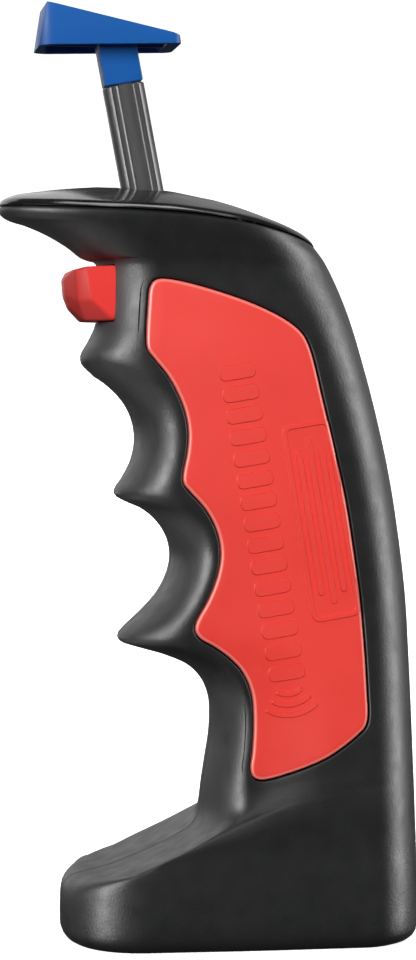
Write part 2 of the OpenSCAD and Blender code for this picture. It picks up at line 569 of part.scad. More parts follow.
module thumb_cap() color("#2f6fc0") difference() {
    union() {
        difference() {
            intersection() {
                slab(-cap_half_w, cap_half_w) polygon(cap_side);
                cap_plan(0);
            }
            intersection() {
                slab(-cap_half_w + cap_wall, cap_half_w - cap_wall) polygon(cap_hollow);
                cap_plan(cap_wall);
            }
        }
        cap_stem();
        block([-27.8, -7], [-0.5, 0.5], [148.2, 149.4]);
    }
    along_plunger(shaft_top - 1) cylinder(5.2, r = 1.85);
}

module wiper_carriage() color("#d9d9d2") along_plunger(carriage_top - carriage_h) difference() {
    union() {
        translate([-4.1, -4.1, 0]) cube([8.2, 10.6, carriage_h - 1.5]);
        cylinder(carriage_h - gap, r = 4.4);
    }
    translate([0, 0, carriage_h - 6.2]) cylinder(10, r = 2 + sleeve_gap);
}

// Two sprung fingers from the carriage to the board's track
module wiper_contacts() color("#c8a24a") for (x = [-1.6, 0.6]) along_plunger(carriage_top - carriage_h)
    translate([x, 0, 0]) rotate([90, 0, 90]) linear_extrude(1)
        polygon([[6.5, 2], [6.9, 2], [board_y - track_t - 0.35, 6.4], [board_y - track_t - 0.05, 7],
                 [board_y - track_t - 0.35, 7.6], [board_y - track_t - 0.7, 7], [6.5, 2.7]]);

module plunger_spring() color("#b9bcc0") along_plunger(seat_top + gap)
    coil(carriage_top - carriage_h - seat_top - 2 * gap, spring_coil_r, spring_wire_r, spring_turns);

// ---------- front button ----------

// A small corner block; the button's faces are stretched between these
tip_size = 0.2;
module tip(x, y, z) translate([x, y, z]) cube(tip_size, center = true);
// The button's section across X, with the lower edges chamfered, from one x to another
module button_bar(x0, x1) translate([x0, 0, 0]) rotate([90, 0, 90]) linear_extrude(x1 - x0)
    polygon([[-button_half_w, button_side_foot], [-button_foot_half_w, button_z[0]],
             [button_foot_half_w, button_z[0]], [button_half_w, button_side_foot],
             [button_half_w, button_z[1]], [-button_half_w, button_z[1]]]);
module front_button() color("#e23330") difference() {
    union() {
        hull() {
            for (p = button_crown) tip(p[0], 0, p[1]);
            for (y = [-1, 1], p = button_front) tip(p[0], y * button_front_half_w, p[1]);
            for (y = [-1, 1], p = button_sides) tip(p[0], y * (button_half_w - tip_size / 2), p[1]);
            for (y = [-1, 1]) tip(button_toe[0], y * button_toe[1], button_z[0] + tip_size / 2);
            button_bar(button_core_x - tip_size, button_core_x);
        }
        button_bar(button_core_x - 0.5, button_back_x);
        for (y = [-6.5, 6.5]) block([-14.6, button_back_x], about(y, 1.5), button_z + [-1.1, 1.1]);
    }
    block([button_core_x, 0], [-5.2, 5.2], [90, 130]);
    rod_x(-20.2, -10, 0, 107, 2.3);
}

module button_spring() color("#b9bcc0") translate([-20.1, 0, 107]) rotate([0, 90, 0])
    coil(6.8, 1.6, 0.22, 5);

// ---------- electronics ----------

module circuit_board() color("#1f6b3c") difference() {
    slab(board_y, board_y + board_t) polygon(board_outline);
    for (p = board_posts) rod_y(p[0], p[1], board_y - 1, board_y + 3, 1.1);
}

module resistor_track() color("#1d1d1d") for (x = [-1.9, 0.3])
    along_plunger(carriage_top - carriage_h - plunger_travel + 4)
        translate([x, board_y - track_t, 0]) cube([1.6, track_t, plunger_travel + 6]);

module board_screws() color("#c9ccd0") for (p = board_posts)
    translate([p[0], board_y, p[1]]) rotate([-90, 0, 0]) screw(3.6, 1.8, 0.8, 1.1);

switch_z = 106.7;
switch_y = 6.5;
module switch_body() color("#303338") difference() {
    block([-11.6, -6.2], [4.95, board_y - gap], [switch_z - 2.6, switch_z + 2.6]);
    rod_x(-12, -7.8, switch_y, switch_z, 0.85);
}
module switch_actuator() color("#e8e2d0")
    rod_x(button_back_x + gap, -9.9, switch_y, switch_z, 0.8);

module status_led() color("#f4f4ea") {
    block([lens_x - 1.6, lens_x + 1.6], [lamp_y, board_y - gap], [103.8, 106.8]);
}
module controller_chip() color("#232427")
    block([6, 14], [board_y - 1.1, board_y - gap], [65.2, 73.2]);
module radio_module() color("#2a4f8a")
    block([4.5, 17], [board_y - 0.9, board_y - gap], [79.2, 96.2]);
module radio_shield() color("#c9ccd0")
    block([6, 15.5], [board_y - 2.6, board_y - 1], [82.2, 92.2]);
module battery_socket() color("#efece0")
    block([5.6, 13.2], [board_y - 4.2, board_y - gap], [42.4, 47.2]);
module battery_plug() color("#efece0")
    block([6.2, 12.6], [board_y - 3.9, board_y - 0.5], [38.7, 42.3]);
battery_size = [29.6, 22.4, 6.4];
battery_at = [3.6, 0, 3.6];   // middle of its underside
battery_round = 2.5;
module battery_pack() color("#9fb4c8") translate(battery_at)
    linear_extrude(battery_size[2]) rounded_rect(battery_size[0], battery_size[1], battery_round);
module battery_leads() color("#c22626") for (r = battery_lead_routes) wire(r, wire_r);
module charge_leads() color("#222222") for (r = charge_lead_routes) wire(r, wire_r);

// ---------- nodes ----------

left_shell();
right_shell();
top_cover();
left_grip_inlay();
right_grip_inlay();
battery_cover();
battery_cover_screws();
housing_screws();
charge_contacts();
status_lens();
plunger_guide();
stop_bumper();
spring_seat();
plunger_shaft();
thumb_cap();
wiper_carriage();
wiper_contacts();
plunger_spring();
front_button();
button_spring();
circuit_board();
resistor_track();
board_screws();
switch_body();
switch_actuator();
status_led();
controller_chip();
radio_module();
radio_shield();
battery_socket();
battery_plug();
battery_pack();
battery_leads();
charge_leads();
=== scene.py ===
"""Looks of a pistol-grip hand controller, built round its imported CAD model.

Shapes are written in millimetres in the CAD model's frame and scaled to metres when a mesh is made.
-X is the front, where the beak and the button are, -Y is the left half and +Z is up.
"""

import json
import math

import bmesh
import bpy
import numpy as np
from mathutils import Matrix, Vector
from mathutils.geometry import delaunay_2d_cdt


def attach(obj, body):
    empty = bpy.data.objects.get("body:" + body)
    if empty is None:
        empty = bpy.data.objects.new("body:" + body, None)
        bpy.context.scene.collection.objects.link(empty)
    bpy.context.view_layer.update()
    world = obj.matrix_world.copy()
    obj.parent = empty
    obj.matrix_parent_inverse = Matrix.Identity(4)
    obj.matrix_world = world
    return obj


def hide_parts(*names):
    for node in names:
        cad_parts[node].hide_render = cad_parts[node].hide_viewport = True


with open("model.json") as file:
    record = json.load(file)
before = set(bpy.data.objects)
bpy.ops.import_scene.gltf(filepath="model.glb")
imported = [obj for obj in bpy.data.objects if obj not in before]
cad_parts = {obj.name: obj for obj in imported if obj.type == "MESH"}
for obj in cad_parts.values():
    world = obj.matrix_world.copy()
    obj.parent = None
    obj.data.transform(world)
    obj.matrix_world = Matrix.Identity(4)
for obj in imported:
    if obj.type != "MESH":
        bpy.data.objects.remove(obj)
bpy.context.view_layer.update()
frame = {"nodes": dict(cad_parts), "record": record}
bpy.context.scene.view_settings.view_transform = "Standard"

MM = 0.001
QUARTER = math.pi / 2
FAR = 1e3
CURVE_STEPS = 8  # pieces between neighbouring points of a smooth curve

# ---- shapes, the same as in the CAD source ----

RIM_HALF_W = 17.2
COVER_RISE = 5.1
RIM_ROUND = 0.8  # rounded top edge of the shells, at the seam under the cover
RIM_FLAT = 1.2
RIM_Z = 121.6

FRONT_OUTLINE = [
    [-23.4, 0], [-24.2, 0.5], [-24.7, 1.5], [-24.8, 3.2], [-24.8, 5.4], [-24.7, 7.6], [-24.3, 9.1],
    [-23.2, 10.2], [-21.6, 10.8], [-18, 11.6], [-12, 13.8], [-6.5, 16.2], [-2.9, 18.4],
    [-1.7, 20.4], [-1, 25.2], [-0.3, 29.5], [0.3, 33.2], [0.5, 36.7], [0.3, 39.6],
    [-0.9, 42.6], [-3.4, 45.2], [-7.8, 47.2], [-12.3, 48.5],
    [-14.9, 49.4], [-15.3, 50.3], [-14.4, 51.5],
    [-11.4, 54.2], [-8.5, 57.4], [-6.8, 60.7], [-6.3, 63.8], [-6.9, 66.6], [-8.5, 69.2],
    [-11.1, 71.4], [-14.2, 72.8],
    [-15.7, 73.8], [-15.7, 74.8], [-14.6, 76.4],
    [-13, 79.4], [-12.3, 82.8], [-12.7, 86], [-14.1, 89], [-16.6, 91.7], [-19.4, 93.8],
    [-21.2, 95.6], [-21.4, 97], [-20.2, 99.2], [-18.9, 102],
    [-18.6, 104.8], [-18.6, 108.4], [-18.6, 111.7], [-19, 112.6], [-21.2, 113.2],
    [-23.6, 115], [-27.2, 117.1], [-31, 118.7], [-33.9, 119.6], [-35, 120.6],
    [-35, RIM_Z - RIM_ROUND],
]
BACK_HEIGHT = [
    [0, 0], [3.2, 3.2], [7.6, 9.2], [9.2, 12.4], [10.8, 16.4], [12, 19], [14.2, 22.3],
    [16.6, 25], [18.4, 26.3], [20.4, 27.6], [33.2, 35.7], [57.2, 57.2], [95.2, 95.2],
    [107.2, 106.2], [112.6, 109.8], [117, 112.4], [121.6, 114.8],
]
BACK_X = [
    [0, 33], [0.5, 34.1], [1.5, 34.8], [3.2, 35], [9.2, 35], [21.2, 34.6], [33.2, 34.2],
    [47.2, 33.6], [57.2, 33], [67.2, 31.8], [77.2, 30.2], [87.2, 28], [95.2, 25.9],
    [103.2, 23.5], [109.2, 21.1], [112.4, 19.4], [114.8, 17.6],
]
NOSE_END_X = [
    [0, -11], [9.2, -10.5], [12.4, -10], [14.6, -6.2], [16.9, -1], [18.5, 2.8], [20.4, 4.6],
    [29.2, 5.2], [39.2, 5.2], [45.2, 2.4], [51.2, -4.6], [57.2, -2.4], [64.2, -0.4],
    [69.2, -2], [74.4, -6.4], [81.2, -6], [87.2, -6.2], [92.2, -8.4], [97.7, -10.5],
    [103.2, -9.6], [111.2, -9.6], [116.2, -11.5], [121.6, -13],
]
BACK_ROUND = [[0, 10], [21.2, 9.2], [95.2, 9.2], [107.2, 11], [115.2, 14.5], [121.6, RIM_HALF_W - 0.2]]
HALF_WIDTH = [
    [0, 17.2], [0.5, 18.2], [1.5, 18.8], [3.2, 19], [7.6, 18.6], [9.2, 18.3], [11.1, 17.9],
    [14.2, 17.7], [16.6, 17.1], [18.4, 16.2], [20.4, 15.4], [23.2, 14.8], [33.2, 14.8],
    [57.2, 15.4], [77.2, 15.6], [95.2, 15.4], [104.8, 15], [111.8, 15], [115, 15.8],
    [118.2, RIM_HALF_W - 0.5], [120.6, RIM_HALF_W - 0.1], [121.6, RIM_HALF_W],
]
BACK_WIDENING = [
    [0, 0], [3.2, 0], [9.2, 0.15], [11.1, 0.2], [14.2, 0.3], [16.6, 0.6], [18.4, 1.25],
    [20.4, 1.9], [23.2, 2.25], [33.2, 1.7], [45.2, 0.75], [57.2, 0.1], [65, 0], [121.6, 0],
]
WIDENING_END = 0.65
NOSE_POWER = [[0, 2.4], [8, 2.4], [11.1, 2.7], [16.6, 2.7], [18.5, 2.1], [20.4, 2], [121.6, 2.05]]
BACK_POWER = 2.1
SIDE_CROWN = 0.3
RISING_BOW = 1.5  # bow of a section whose back is higher than its front
FALLING_BOW = [0.2, 1.8]  # bow of one whose back is lower: at the front, and what it gains to the back
DOME_EASE = [
    [-35, 1.3], [-32.5, 1.15], [-31, 0.95], [-29, 0.8], [-26, 0.71], [-22, 0.64], [-18, 0.6],
    [-13, 0.63], [-7, 0.62], [-4.8, 0.57], [-2, 0.51], [1.5, 0.47], [3.5, 0.465], [7, 0.45],
    [9, 0.45], [11, 0.475], [14, 0.52], [17.6, 0.6],
]

INLAY_OUTLINE = [
    [-12.2, 100.2], [-11.9, 105.2], [-11.6, 107.8], [-10.9, 109], [-9.6, 109.4], [-7.5, 109.2],
    [-3.2, 108.2], [3.2, 106.2], [7.9, 104.3], [11.5, 102.3], [13.6, 100.4], [14.8, 98],
    [17, 89.2], [18.9, 81.2], [20.6, 73.7], [22, 65.2], [23.1, 57.2], [23.8, 49.2],
    [24.2, 41.7], [24.3, 38], [23.9, 36.2], [22.6, 34.8], [18.5, 31.8], [14.7, 29.9],
    [10.5, 28.3], [8.2, 27.6], [6.5, 27.4], [5.3, 28], [4.9, 29.2], [5.2, 32.2], [5.4, 37.2],
    [5, 41.8], [3.6, 45.1], [1.3, 47.6], [-1.2, 49.4], [-3.4, 50.7], [-4.3, 52],
    [-4.1, 53.5], [-2.1, 57.2], [-0.6, 61.2], [-0.1, 64.8], [-0.8, 68.4], [-2.6, 71.8],
    [-5, 74.5], [-6.2, 76], [-6.3, 77.4], [-5.6, 81.2], [-5.4, 84.4], [-6, 87.8],
    [-7.2, 90.8], [-8.8, 93.6], [-10.9, 96.2], [-12, 97.7], [-12.2, 98.7],
]
INLAY_FLOOR_Y = 13.4

SCREW_POSTS = [[11.8, 107.2], [27.4, 30.2], [-18.6, 7.6], [-16, 96.4]]
SCREW_RECESS_R = 2.5
SCREW_SEAT_Y = 6.5

HATCH_X = [-14, 26]
HATCH_HALF_W = 12.5
HATCH_ROUND = 4
HATCH_POWER = 4
CONTACT_X = [-20.3, -17.1]
CONTACT_Y = [2.6, 9.4]
WINDOW_HALF_W = 9.5
WINDOW_Z = [102.4, 111.8]

# The plunger's axis, and heights along it above the crest
CREST = (-11.1, 0, 124.8)
PLUNGER_TILT = 10.6
SHAFT_R = 3.5
CARRIAGE_TOP = -29.08
SHAFT_TOP = 17.4
FLUTE_R = 0.7
FLUTE_DEPTH = 0.8  # of a flute's radius
FLUTE_FOOT = -2
FLUTE_ANGLES = [60, 120, 240, 300]
LENS_X = 6
LENS_R = 1.6
COVER_HOOKS = [  # limits in x, y and z
    ([7.4, 10.6], [-11.4, -9.8], [111.7, 118.4]),
    ([7.4, 10.6], [9.8, 11.4], [111.7, 118.4]),
    ([-22, -19], [-3, 3], [117, 123.4]),
]

CAP_SIDE = [[-28.7, 147.6], [-27.5, 154.7], [-6.8, 150], [-5.6, 149.6], [-5.3, 148.2]]
CAP_HOLLOW = [[-27.6, 147], [-26.6, 153.2], [-8.2, 149], [-6.7, 147]]
CAP_X = [-28.9, -5.3]
CAP_HALF_W = 7.4
CAP_CORNERS = [3.2, 1.6]
CAP_WALL = 1.2
CAP_STEM = ([-3.2, 3.2], [-2.7, 2.7], [0.08, 12])
CAP_RIB = [(-27.8, 148.2), (-27.8, 150.4), (-7, 149.4), (-7, 148.2)]
CAP_RIB_HALF_W = 0.5

BUTTON_CROWN = [[-23.8, 110.8], [-24.5, 109.5], [-24.3, 106.8], [-23.5, 104.7]]
BUTTON_CROWN_HALF_W = 2.4
BUTTON_FACE = [  # x, half width and z
    [-23.1, 7, 111], [-22.5, 7, 105.8], [-21.4, 9.3, 111.4], [-20.4, 9.3, 105.9], [-21.2, 5, 102.6],
]
BUTTON_BACK = [[9.3, 111.6], [9.3, 103.2], [8.7, 102.6]]
BUTTON_BACK_X = -13.6
BUTTON_CORE_X = -17.4
BUTTON_CORE_HALF_W = 5.2
BUTTON_BORE_Z = 107
BUTTON_BORE_R = 2.3
BUTTON_BORE_END = -20.2
BUTTON_LIP_X = -14.6
BUTTON_LIP_Z = [101.5, 112.7]
BUTTON_LIPS_Y = [[-8, -5], [5, 8]]


# ---- curves ----

def catmull(points, closed=False):
    """Smooth curve through points (centripetal Catmull-Rom)."""
    p = np.asarray(points, float)
    if closed:
        ends = (p[-1:], p[:2])
    else:
        ends = (2 * p[:1] - p[1:2], 2 * p[-1:] - p[-2:-1])
    ext = np.vstack([ends[0], p, ends[1]])
    share = np.arange(CURVE_STEPS)[:, None] / CURVE_STEPS
    curve = []
    for i in range(len(ext) - 3):
        a, b, c, d = ext[i:i + 4]
        gaps = [math.sqrt(np.linalg.norm(q)) for q in (b - a, c - b, d - c)]
        t1, t2, t3 = np.cumsum(gaps)
        t = t1 + (t2 - t1) * share
        ab = a * (t1 - t) / t1 + b * t / t1
        bc = b * (t2 - t) / (t2 - t1) + c * (t - t1) / (t2 - t1)
        cd = c * (t3 - t) / (t3 - t2) + d * (t - t2) / (t3 - t2)
        abc = ab * (t2 - t) / t2 + bc * t / t2
        bcd = bc * (t3 - t) / (t3 - t1) + cd * (t - t1) / (t3 - t1)
        curve.append(abc * (t2 - t) / (t2 - t1) + bcd * (t - t1) / (t2 - t1))
    if not closed:
        curve.append(p[-1:])
    return np.vstack(curve)


def lengths_along(line):
    """Length of a line from its start to each of its points."""
    return np.concatenate([[0], np.cumsum(np.linalg.norm(np.diff(line, axis=0), axis=1))])


def smooth_table(rows):
    """A function that reads a table of [key, value] rows along a smooth curve through them."""
    curve = catmull(rows)
    keys = np.maximum.accumulate(curve[:, 0])
    return lambda key: np.interp(key, keys, curve[:, 1])


back_height = smooth_table(BACK_HEIGHT)
back_x = smooth_table(BACK_X)
nose_end_x = smooth_table(NOSE_END_X)
back_round = smooth_table(BACK_ROUND)
half_width = smooth_table(HALF_WIDTH)
back_widening = smooth_table(BACK_WIDENING)
nose_power = smooth_table(NOSE_POWER)
dome_ease = smooth_table(DOME_EASE)

OUTLINE = catmull(FRONT_OUTLINE)
ALONG = lengths_along(OUTLINE)
OUTLINE_LENGTH = ALONG[-1]
RIM_ARC = RIM_ROUND * QUARTER
RIM_SPAN = RIM_ARC + RIM_FLAT  # the rounded edge and flat top of the rim continue the outline


def spaced(curve, step):
    """Points about step apart along a dense closed curve in 2-D."""
    line = np.vstack([curve, curve[:1]])
    along = lengths_along(line)
    count = max(3, round(along[-1] / step))
    marks = np.arange(count) * along[-1] / count
    return np.column_stack([np.interp(marks, along, line[:, k]) for k in (0, 1)])


def offset_loop(loop, distance):
    """A closed loop moved outwards by distance, or inwards if it is negative."""
    before, after = np.roll(loop, 1, 0), np.roll(loop, -1, 0)
    along = after - before
    normal = np.column_stack([along[:, 1], -along[:, 0]])
    normal /= np.linalg.norm(normal, axis=1)[:, None]
    x, z = loop.T
    turns_left = np.sum(x * np.roll(z, -1) - np.roll(x, -1) * z) > 0
    return loop + normal * (distance if turns_left else -distance)


def loop_distance(points, loop):
    """Distance of each point to a closed loop, negative inside it, or FAR where it is well outside."""
    points = np.asarray(points, float)
    result = np.full(len(points), FAR)
    margin = 3.0
    at_once = 1500  # points, so that memory lasts
    near = np.all((points > loop.min(0) - margin) & (points < loop.max(0) + margin), axis=1)
    a, b = loop, np.roll(loop, -1, 0)
    edge = b - a
    for chunk in np.array_split(np.flatnonzero(near), max(1, near.sum() // at_once)):
        if len(chunk) == 0:
            continue
        p = points[chunk][:, None]
        t = np.clip(np.sum((p - a) * edge, 2) / np.sum(edge * edge, 1), 0, 1)
        gap = np.linalg.norm(p - a - t[:, :, None] * edge, axis=2).min(1)
        crosses = (a[:, 1] > p[:, :, 1]) != (b[:, 1] > p[:, :, 1])
        height = np.where(edge[:, 1] == 0, 1e-12, edge[:, 1])
        x_at = a[:, 0] + (p[:, :, 1] - a[:, 1]) / height * edge[:, 0]
        inside = np.sum(crosses & (p[:, :, 0] < x_at), 1) % 2 == 1
        result[chunk] = np.where(inside, -gap, gap)
    return result


def edge_drop(distance, radius):
    """How far a rounded edge lies below its surface, at a distance from the edge."""
    d = np.clip(distance, 0, radius)
    return radius - np.sqrt(np.maximum(radius ** 2 - (radius - d) ** 2, 0))


# ---- the housing's skin, left half ----

def section(u, front, back, w, p, q, power, wider=0.0):
    """x and y on half a section: u is 0-1 round the nose, 1-2 along the side, 2-3 round the back."""
    a = QUARTER * np.clip(u, 0, 1)
    f = np.clip(u - 1, 0, 1)
    b = QUARTER * np.clip(3 - u, 0, 1)
    nose_x = front + p * (1 - np.cos(a) ** (2 / power))
    nose_y = w * np.sin(a) ** (2 / power)
    side_x = front + p + (back - q - front - p) * f
    t = np.minimum(f / WIDENING_END, 1)
    side_y = w + wider * t * t * (3 - 2 * t) + SIDE_CROWN * np.sin(math.pi * f) ** 2
    rear_x = back - q * (1 - np.cos(b) ** (2 / BACK_POWER))
    rear_y = (w + wider) * np.sin(b) ** (2 / BACK_POWER)
    x = np.where(u < 1, nose_x, np.where(u < 2, side_x, rear_x))
    y = np.where(u < 1, nose_y, np.where(u < 2, side_y, rear_y))
    return x, -y


def leaned(x, front, back, zf, zb):
    """Height at x on a section that leans from zf at the front to zb at the back, bowed upwards."""
    f = (x - front) / (back - front)
    bow = np.where(zb > zf, RISING_BOW, FALLING_BOW[0] + FALLING_BOW[1] * f)
    return zf + (zb - zf) * f + np.abs(zb - zf) * bow * f * (1 - f)


def ring(v):
    """Front, back, half width, nose and back lengths, nose power, widening and end heights at v."""
    over = np.clip(v - OUTLINE_LENGTH, 0, RIM_SPAN)
    turn = np.clip(over / RIM_ARC, 0, 1) * QUARTER
    inset = RIM_ROUND * (1 - np.cos(turn)) + np.maximum(over - RIM_ARC, 0)
    rise = RIM_ROUND * np.sin(turn)
    front = np.interp(v, ALONG, OUTLINE[:, 0])
    z = np.interp(v, ALONG, OUTLINE[:, 1])
    zb = back_height(z + rise)
    back = back_x(zb)
    return (front + inset, back - inset, half_width(z) - inset, nose_end_x(z) - front - inset,
            back_round(z) - inset, nose_power(z), back_widening(z), z + rise, zb)


def skin(u, v):
    """Points of the housing's left skin, in millimetres."""
    *shape, zf, zb = ring(v)
    x, y = section(u, *shape)
    return np.column_stack([x, y, leaned(x, *shape[:2], zf, zb)])


def bisect(count, high, too_high):
    """For each of count points, the value from 0 to high at which too_high(value) turns true."""
    low, high = np.zeros(count), np.full(count, high)
    halvings = 40
    for _ in range(halvings):
        middle = (low + high) / 2
        up = too_high(middle)
        high = np.where(up, middle, high)
        low = np.where(up, low, middle)
    return (low + high) / 2


def skin_uv_at_xz(points):
    """u and v of the skin's points that have these x and z."""
    x, z = np.asarray(points, float).T

    def too_high(v):
        front, back, *_, zf, zb = ring(v)
        return leaned(x, front, back, zf, zb) > z

    v = bisect(len(x), OUTLINE_LENGTH, too_high)
    front, back, _, p, q, power, *_ = ring(v)
    nose = np.arccos(np.clip(1 - (x - front) / p, 0, 1) ** (power / 2)) / QUARTER
    side = 1 + (x - front - p) / (back - q - front - p)
    rear = 3 - np.arccos(np.clip(1 - (back - x) / q, 0, 1) ** (BACK_POWER / 2)) / QUARTER
    u = np.where(x < front + p, nose, np.where(x < back - q, side, rear))
    return np.column_stack([u, v])


def skin_uv_at_yz(points):
    """u and v of the nose's points that have these |y| and z."""
    y, z = np.asarray(points, float).T

    def nose_u(v):
        w, power = ring(v)[2], ring(v)[5]
        return np.arcsin(np.clip(y / w, 0, 1) ** (power / 2)) / QUARTER

    v = bisect(len(y), OUTLINE_LENGTH, lambda m: skin(nose_u(m), m)[:, 2] > z)
    return np.column_stack([nose_u(v), v])


U_SCALE = 20.0  # makes a step in u about as long as a step in v, for well-shaped triangles
SEAM_U = 0.008
ROW_STEP = 0.72
U_COLUMNS = np.concatenate([
    [0, SEAM_U, 2 * SEAM_U], np.linspace(0, 1, 27)[1:], 1 + np.linspace(0, 1, 25)[1:],
    2 + np.linspace(0, 1, 23)[1:-1], [3 - 2 * SEAM_U, 3 - SEAM_U, 3]])
V_ROWS = np.concatenate([
    np.linspace(0, OUTLINE_LENGTH, round(OUTLINE_LENGTH / ROW_STEP)),
    OUTLINE_LENGTH + RIM_ARC * np.linspace(0, 1, 9)[1:], [OUTLINE_LENGTH + RIM_SPAN]])


def triangles(points, loops, path=np.empty((0, 2))):
    """Delaunay triangles over 2-D points that keep the edges of closed loops and of an open path."""
    count = len(points)
    edges = []
    for loop in loops:
        n = len(loop)
        edges += [(count + i, count + (i + 1) % n) for i in range(n)]
        count += n
    edges += [(count + i, count + i + 1) for i in range(len(path) - 1)]
    every = np.vstack([points, *loops, path])
    verts, _, faces, *_ = delaunay_2d_cdt([Vector(p) for p in every], edges, [], 0, 1e-7)
    return np.array([tuple(p) for p in verts]), np.array(faces)


# ---- making meshes ----

SHARP_ANGLE = math.radians(38)
MATERIALS = {}  # the material of each of the record's slots, by name


def mesh_from(bm, name):
    """A mesh made from a bmesh, which is used up."""
    mesh = bpy.data.meshes.new(name)
    bm.to_mesh(mesh)
    bm.free()
    return mesh


def scene_object(name, data):
    """A new object in the scene."""
    obj = bpy.data.objects.new(name, data)
    bpy.context.scene.collection.objects.link(obj)
    return obj


def smooth_by_angle(mesh):
    """Shades the mesh smooth, with edges over SHARP_ANGLE kept sharp."""
    bm = bmesh.new()
    bm.from_mesh(mesh)
    for face in bm.faces:
        face.smooth = True
    for edge in bm.edges:
        edge.smooth = len(edge.link_faces) == 2 and edge.calc_face_angle(0) < SHARP_ANGLE
    bm.to_mesh(mesh)
    bm.free()


def new_piece(name, bm, body, slot, node):
    """A finished piece from a bmesh in millimetres, riding on a CAD body in place of a CAD node."""
    bmesh.ops.remove_doubles(bm, verts=bm.verts, dist=1e-4)
    bmesh.ops.recalc_face_normals(bm, faces=bm.faces)
    bmesh.ops.scale(bm, vec=(MM, MM, MM), verts=bm.verts)
    mesh = mesh_from(bm, name)
    smooth_by_angle(mesh)
    piece = scene_object(name, mesh)
    mesh.materials.append(MATERIALS[slot])
    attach(piece, body)
    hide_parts(node)


def add_faces(bm, points, faces):
    """Adds vertices and faces to a bmesh, leaving out faces that use a vertex twice."""
    verts = [bm.verts.new(p) for p in points]
    for face in faces:
        if len(set(face)) == len(face):
            bm.faces.new([verts[i] for i in face])


def drop_loose(bm):
    """Removes the vertices that no face uses."""
    for vert in [v for v in bm.verts if not v.link_faces]:
        bm.verts.remove(vert)


def discard(obj):
    """Removes an object and its mesh."""
    mesh = obj.data
    bpy.data.objects.remove(obj)
    bpy.data.meshes.remove(mesh)


def applied(bm, modifiers):
    """A new bmesh with modifiers applied, given as (type, settings) pairs."""
    work = scene_object("work", mesh_from(bm, "work"))
    for kind, settings in modifiers:
        modifier = work.modifiers.new(kind, kind)
        for key, value in settings.items():
            setattr(modifier, key, value)
    result = bmesh.new()
    result.from_object(work, bpy.context.evaluated_depsgraph_get())
    discard(work)
    return result


def boolean(bm, operation, others):
    """bm joined with, cut by or kept inside the other bmeshes."""
    tools = []
    for other in others:
        bmesh.ops.recalc_face_normals(other, faces=other.faces)
        tools.append(scene_object("tool", mesh_from(other, "tool")))
    result = applied(bm, [("BOOLEAN", {"operation": operation, "object": tool, "solver": "EXACT"})
                          for tool in tools])
    for tool in tools:
        discard(tool)
    return result


def bevel(bm, width, segments, angle=30):
    """bm with its sharp edges rounded."""
    return applied(bm, [("BEVEL", {"width": width, "segments": segments, "limit_method": "ANGLE",
                                   "angle_limit": math.radians(angle), "miter_outer": "MITER_ARC"})])


def prism(outline, axis, low, high):
    """A closed outline of 2-D points made solid along an axis: "y" takes (x, z), "z" takes (x, y)."""
    bm = bmesh.new()
    n = len(outline)
    if axis == "y":
        points = [(p[0], t, p[1]) for t in (low, high) for p in outline]
    else:
        points = [(p[0], p[1], t) for t in (low, high) for p in outline]
    faces = [list(range(n)), list(range(2 * n - 1, n - 1, -1))]
    faces += [[i, n + i, n + (i + 1) % n, (i + 1) % n] for i in range(n)]
    add_faces(bm, points, faces)
    bmesh.ops.recalc_face_normals(bm, faces=bm.faces)
    return bm


def block(x, y, z):
    """A box between pairs of limits."""
    return prism([(x[0], y[0]), (x[1], y[0]), (x[1], y[1]), (x[0], y[1])], "z", *z)


def lathe(profile, sides, place, radius=None):
    """Rings of (height, radius) round +Z, closed at both ends and moved by place.

    radius(angle, height, r), if given, is the radius used instead of a ring's r.
    """
    points = []
    for height, r in profile:
        for i in range(sides):
            a = 2 * math.pi * i / sides
            rr = radius(a, height, r) if radius else r
            points.append(place @ Vector((rr * math.cos(a), rr * math.sin(a), height)))
    faces = [[k * sides + i, k * sides + (i + 1) % sides, (k + 1) * sides + (i + 1) % sides,
              (k + 1) * sides + i] for k in range(len(profile) - 1) for i in range(sides)]
    faces += [list(range(sides - 1, -1, -1)), [(len(profile) - 1) * sides + i for i in range(sides)]]
    bm = bmesh.new()
    add_faces(bm, points, faces)
    return bm


def along_plunger(s=0):
    """The plunger's own frame, with +Z up its axis."""
    return (Matrix.Translation(CREST) @ Matrix.Rotation(math.radians(-PLUNGER_TILT), 4, "Y")
            @ Matrix.Translation((0, 0, s)))


def mirrored(bm):
    """bm turned into its mirror image on the other side of the middle plane."""
    bmesh.ops.scale(bm, vec=(1, -1, 1), verts=bm.verts)
    bmesh.ops.reverse_faces(bm, faces=bm.faces)
    return bm


# ---- shells ----

POCKET_GAP = 0.12   # of the 0.24 gap round an inlay, the shell and the inlay take half each
POCKET_ROUND = 0.3
RECESS_ROUND = 0.25
RECESS_EDGE_ROWS = [0, 0.12, 0.35, 0.65, 1]  # where points lie across a recess's rounded edge
GRID_CLEAR = 0.35   # kept free of grid points beside a rounded edge
WINDOW_CLEAR = 0.3  # and beside the button's window
WINDOW_BACK_X = -12
WINDOW_WALL = 1.6
SHELL_WALL = 1.2
SEAM_DEPTH = 0.14
SEAM_HALF_W = 0.3
SEAM_GAP = 0.02
SEAM_FOOT_Z = 0.3
FLOOR_STEP = 1.5
CIRCLE_STEPS = 36


def corner(x, y, r, quarter, steps):
    """Points round a rounded corner; quarter 0 runs from +X to +Y."""
    turns = [QUARTER * (quarter + k / steps) for k in range(steps + 1)]
    return [(x + r * math.cos(a), y + r * math.sin(a)) for a in turns]


def circle(x, z, r):
    """A circle in x and z."""
    a = np.arange(CIRCLE_STEPS) * 2 * math.pi / CIRCLE_STEPS
    return np.column_stack([x + r * np.cos(a), z + r * np.sin(a)])


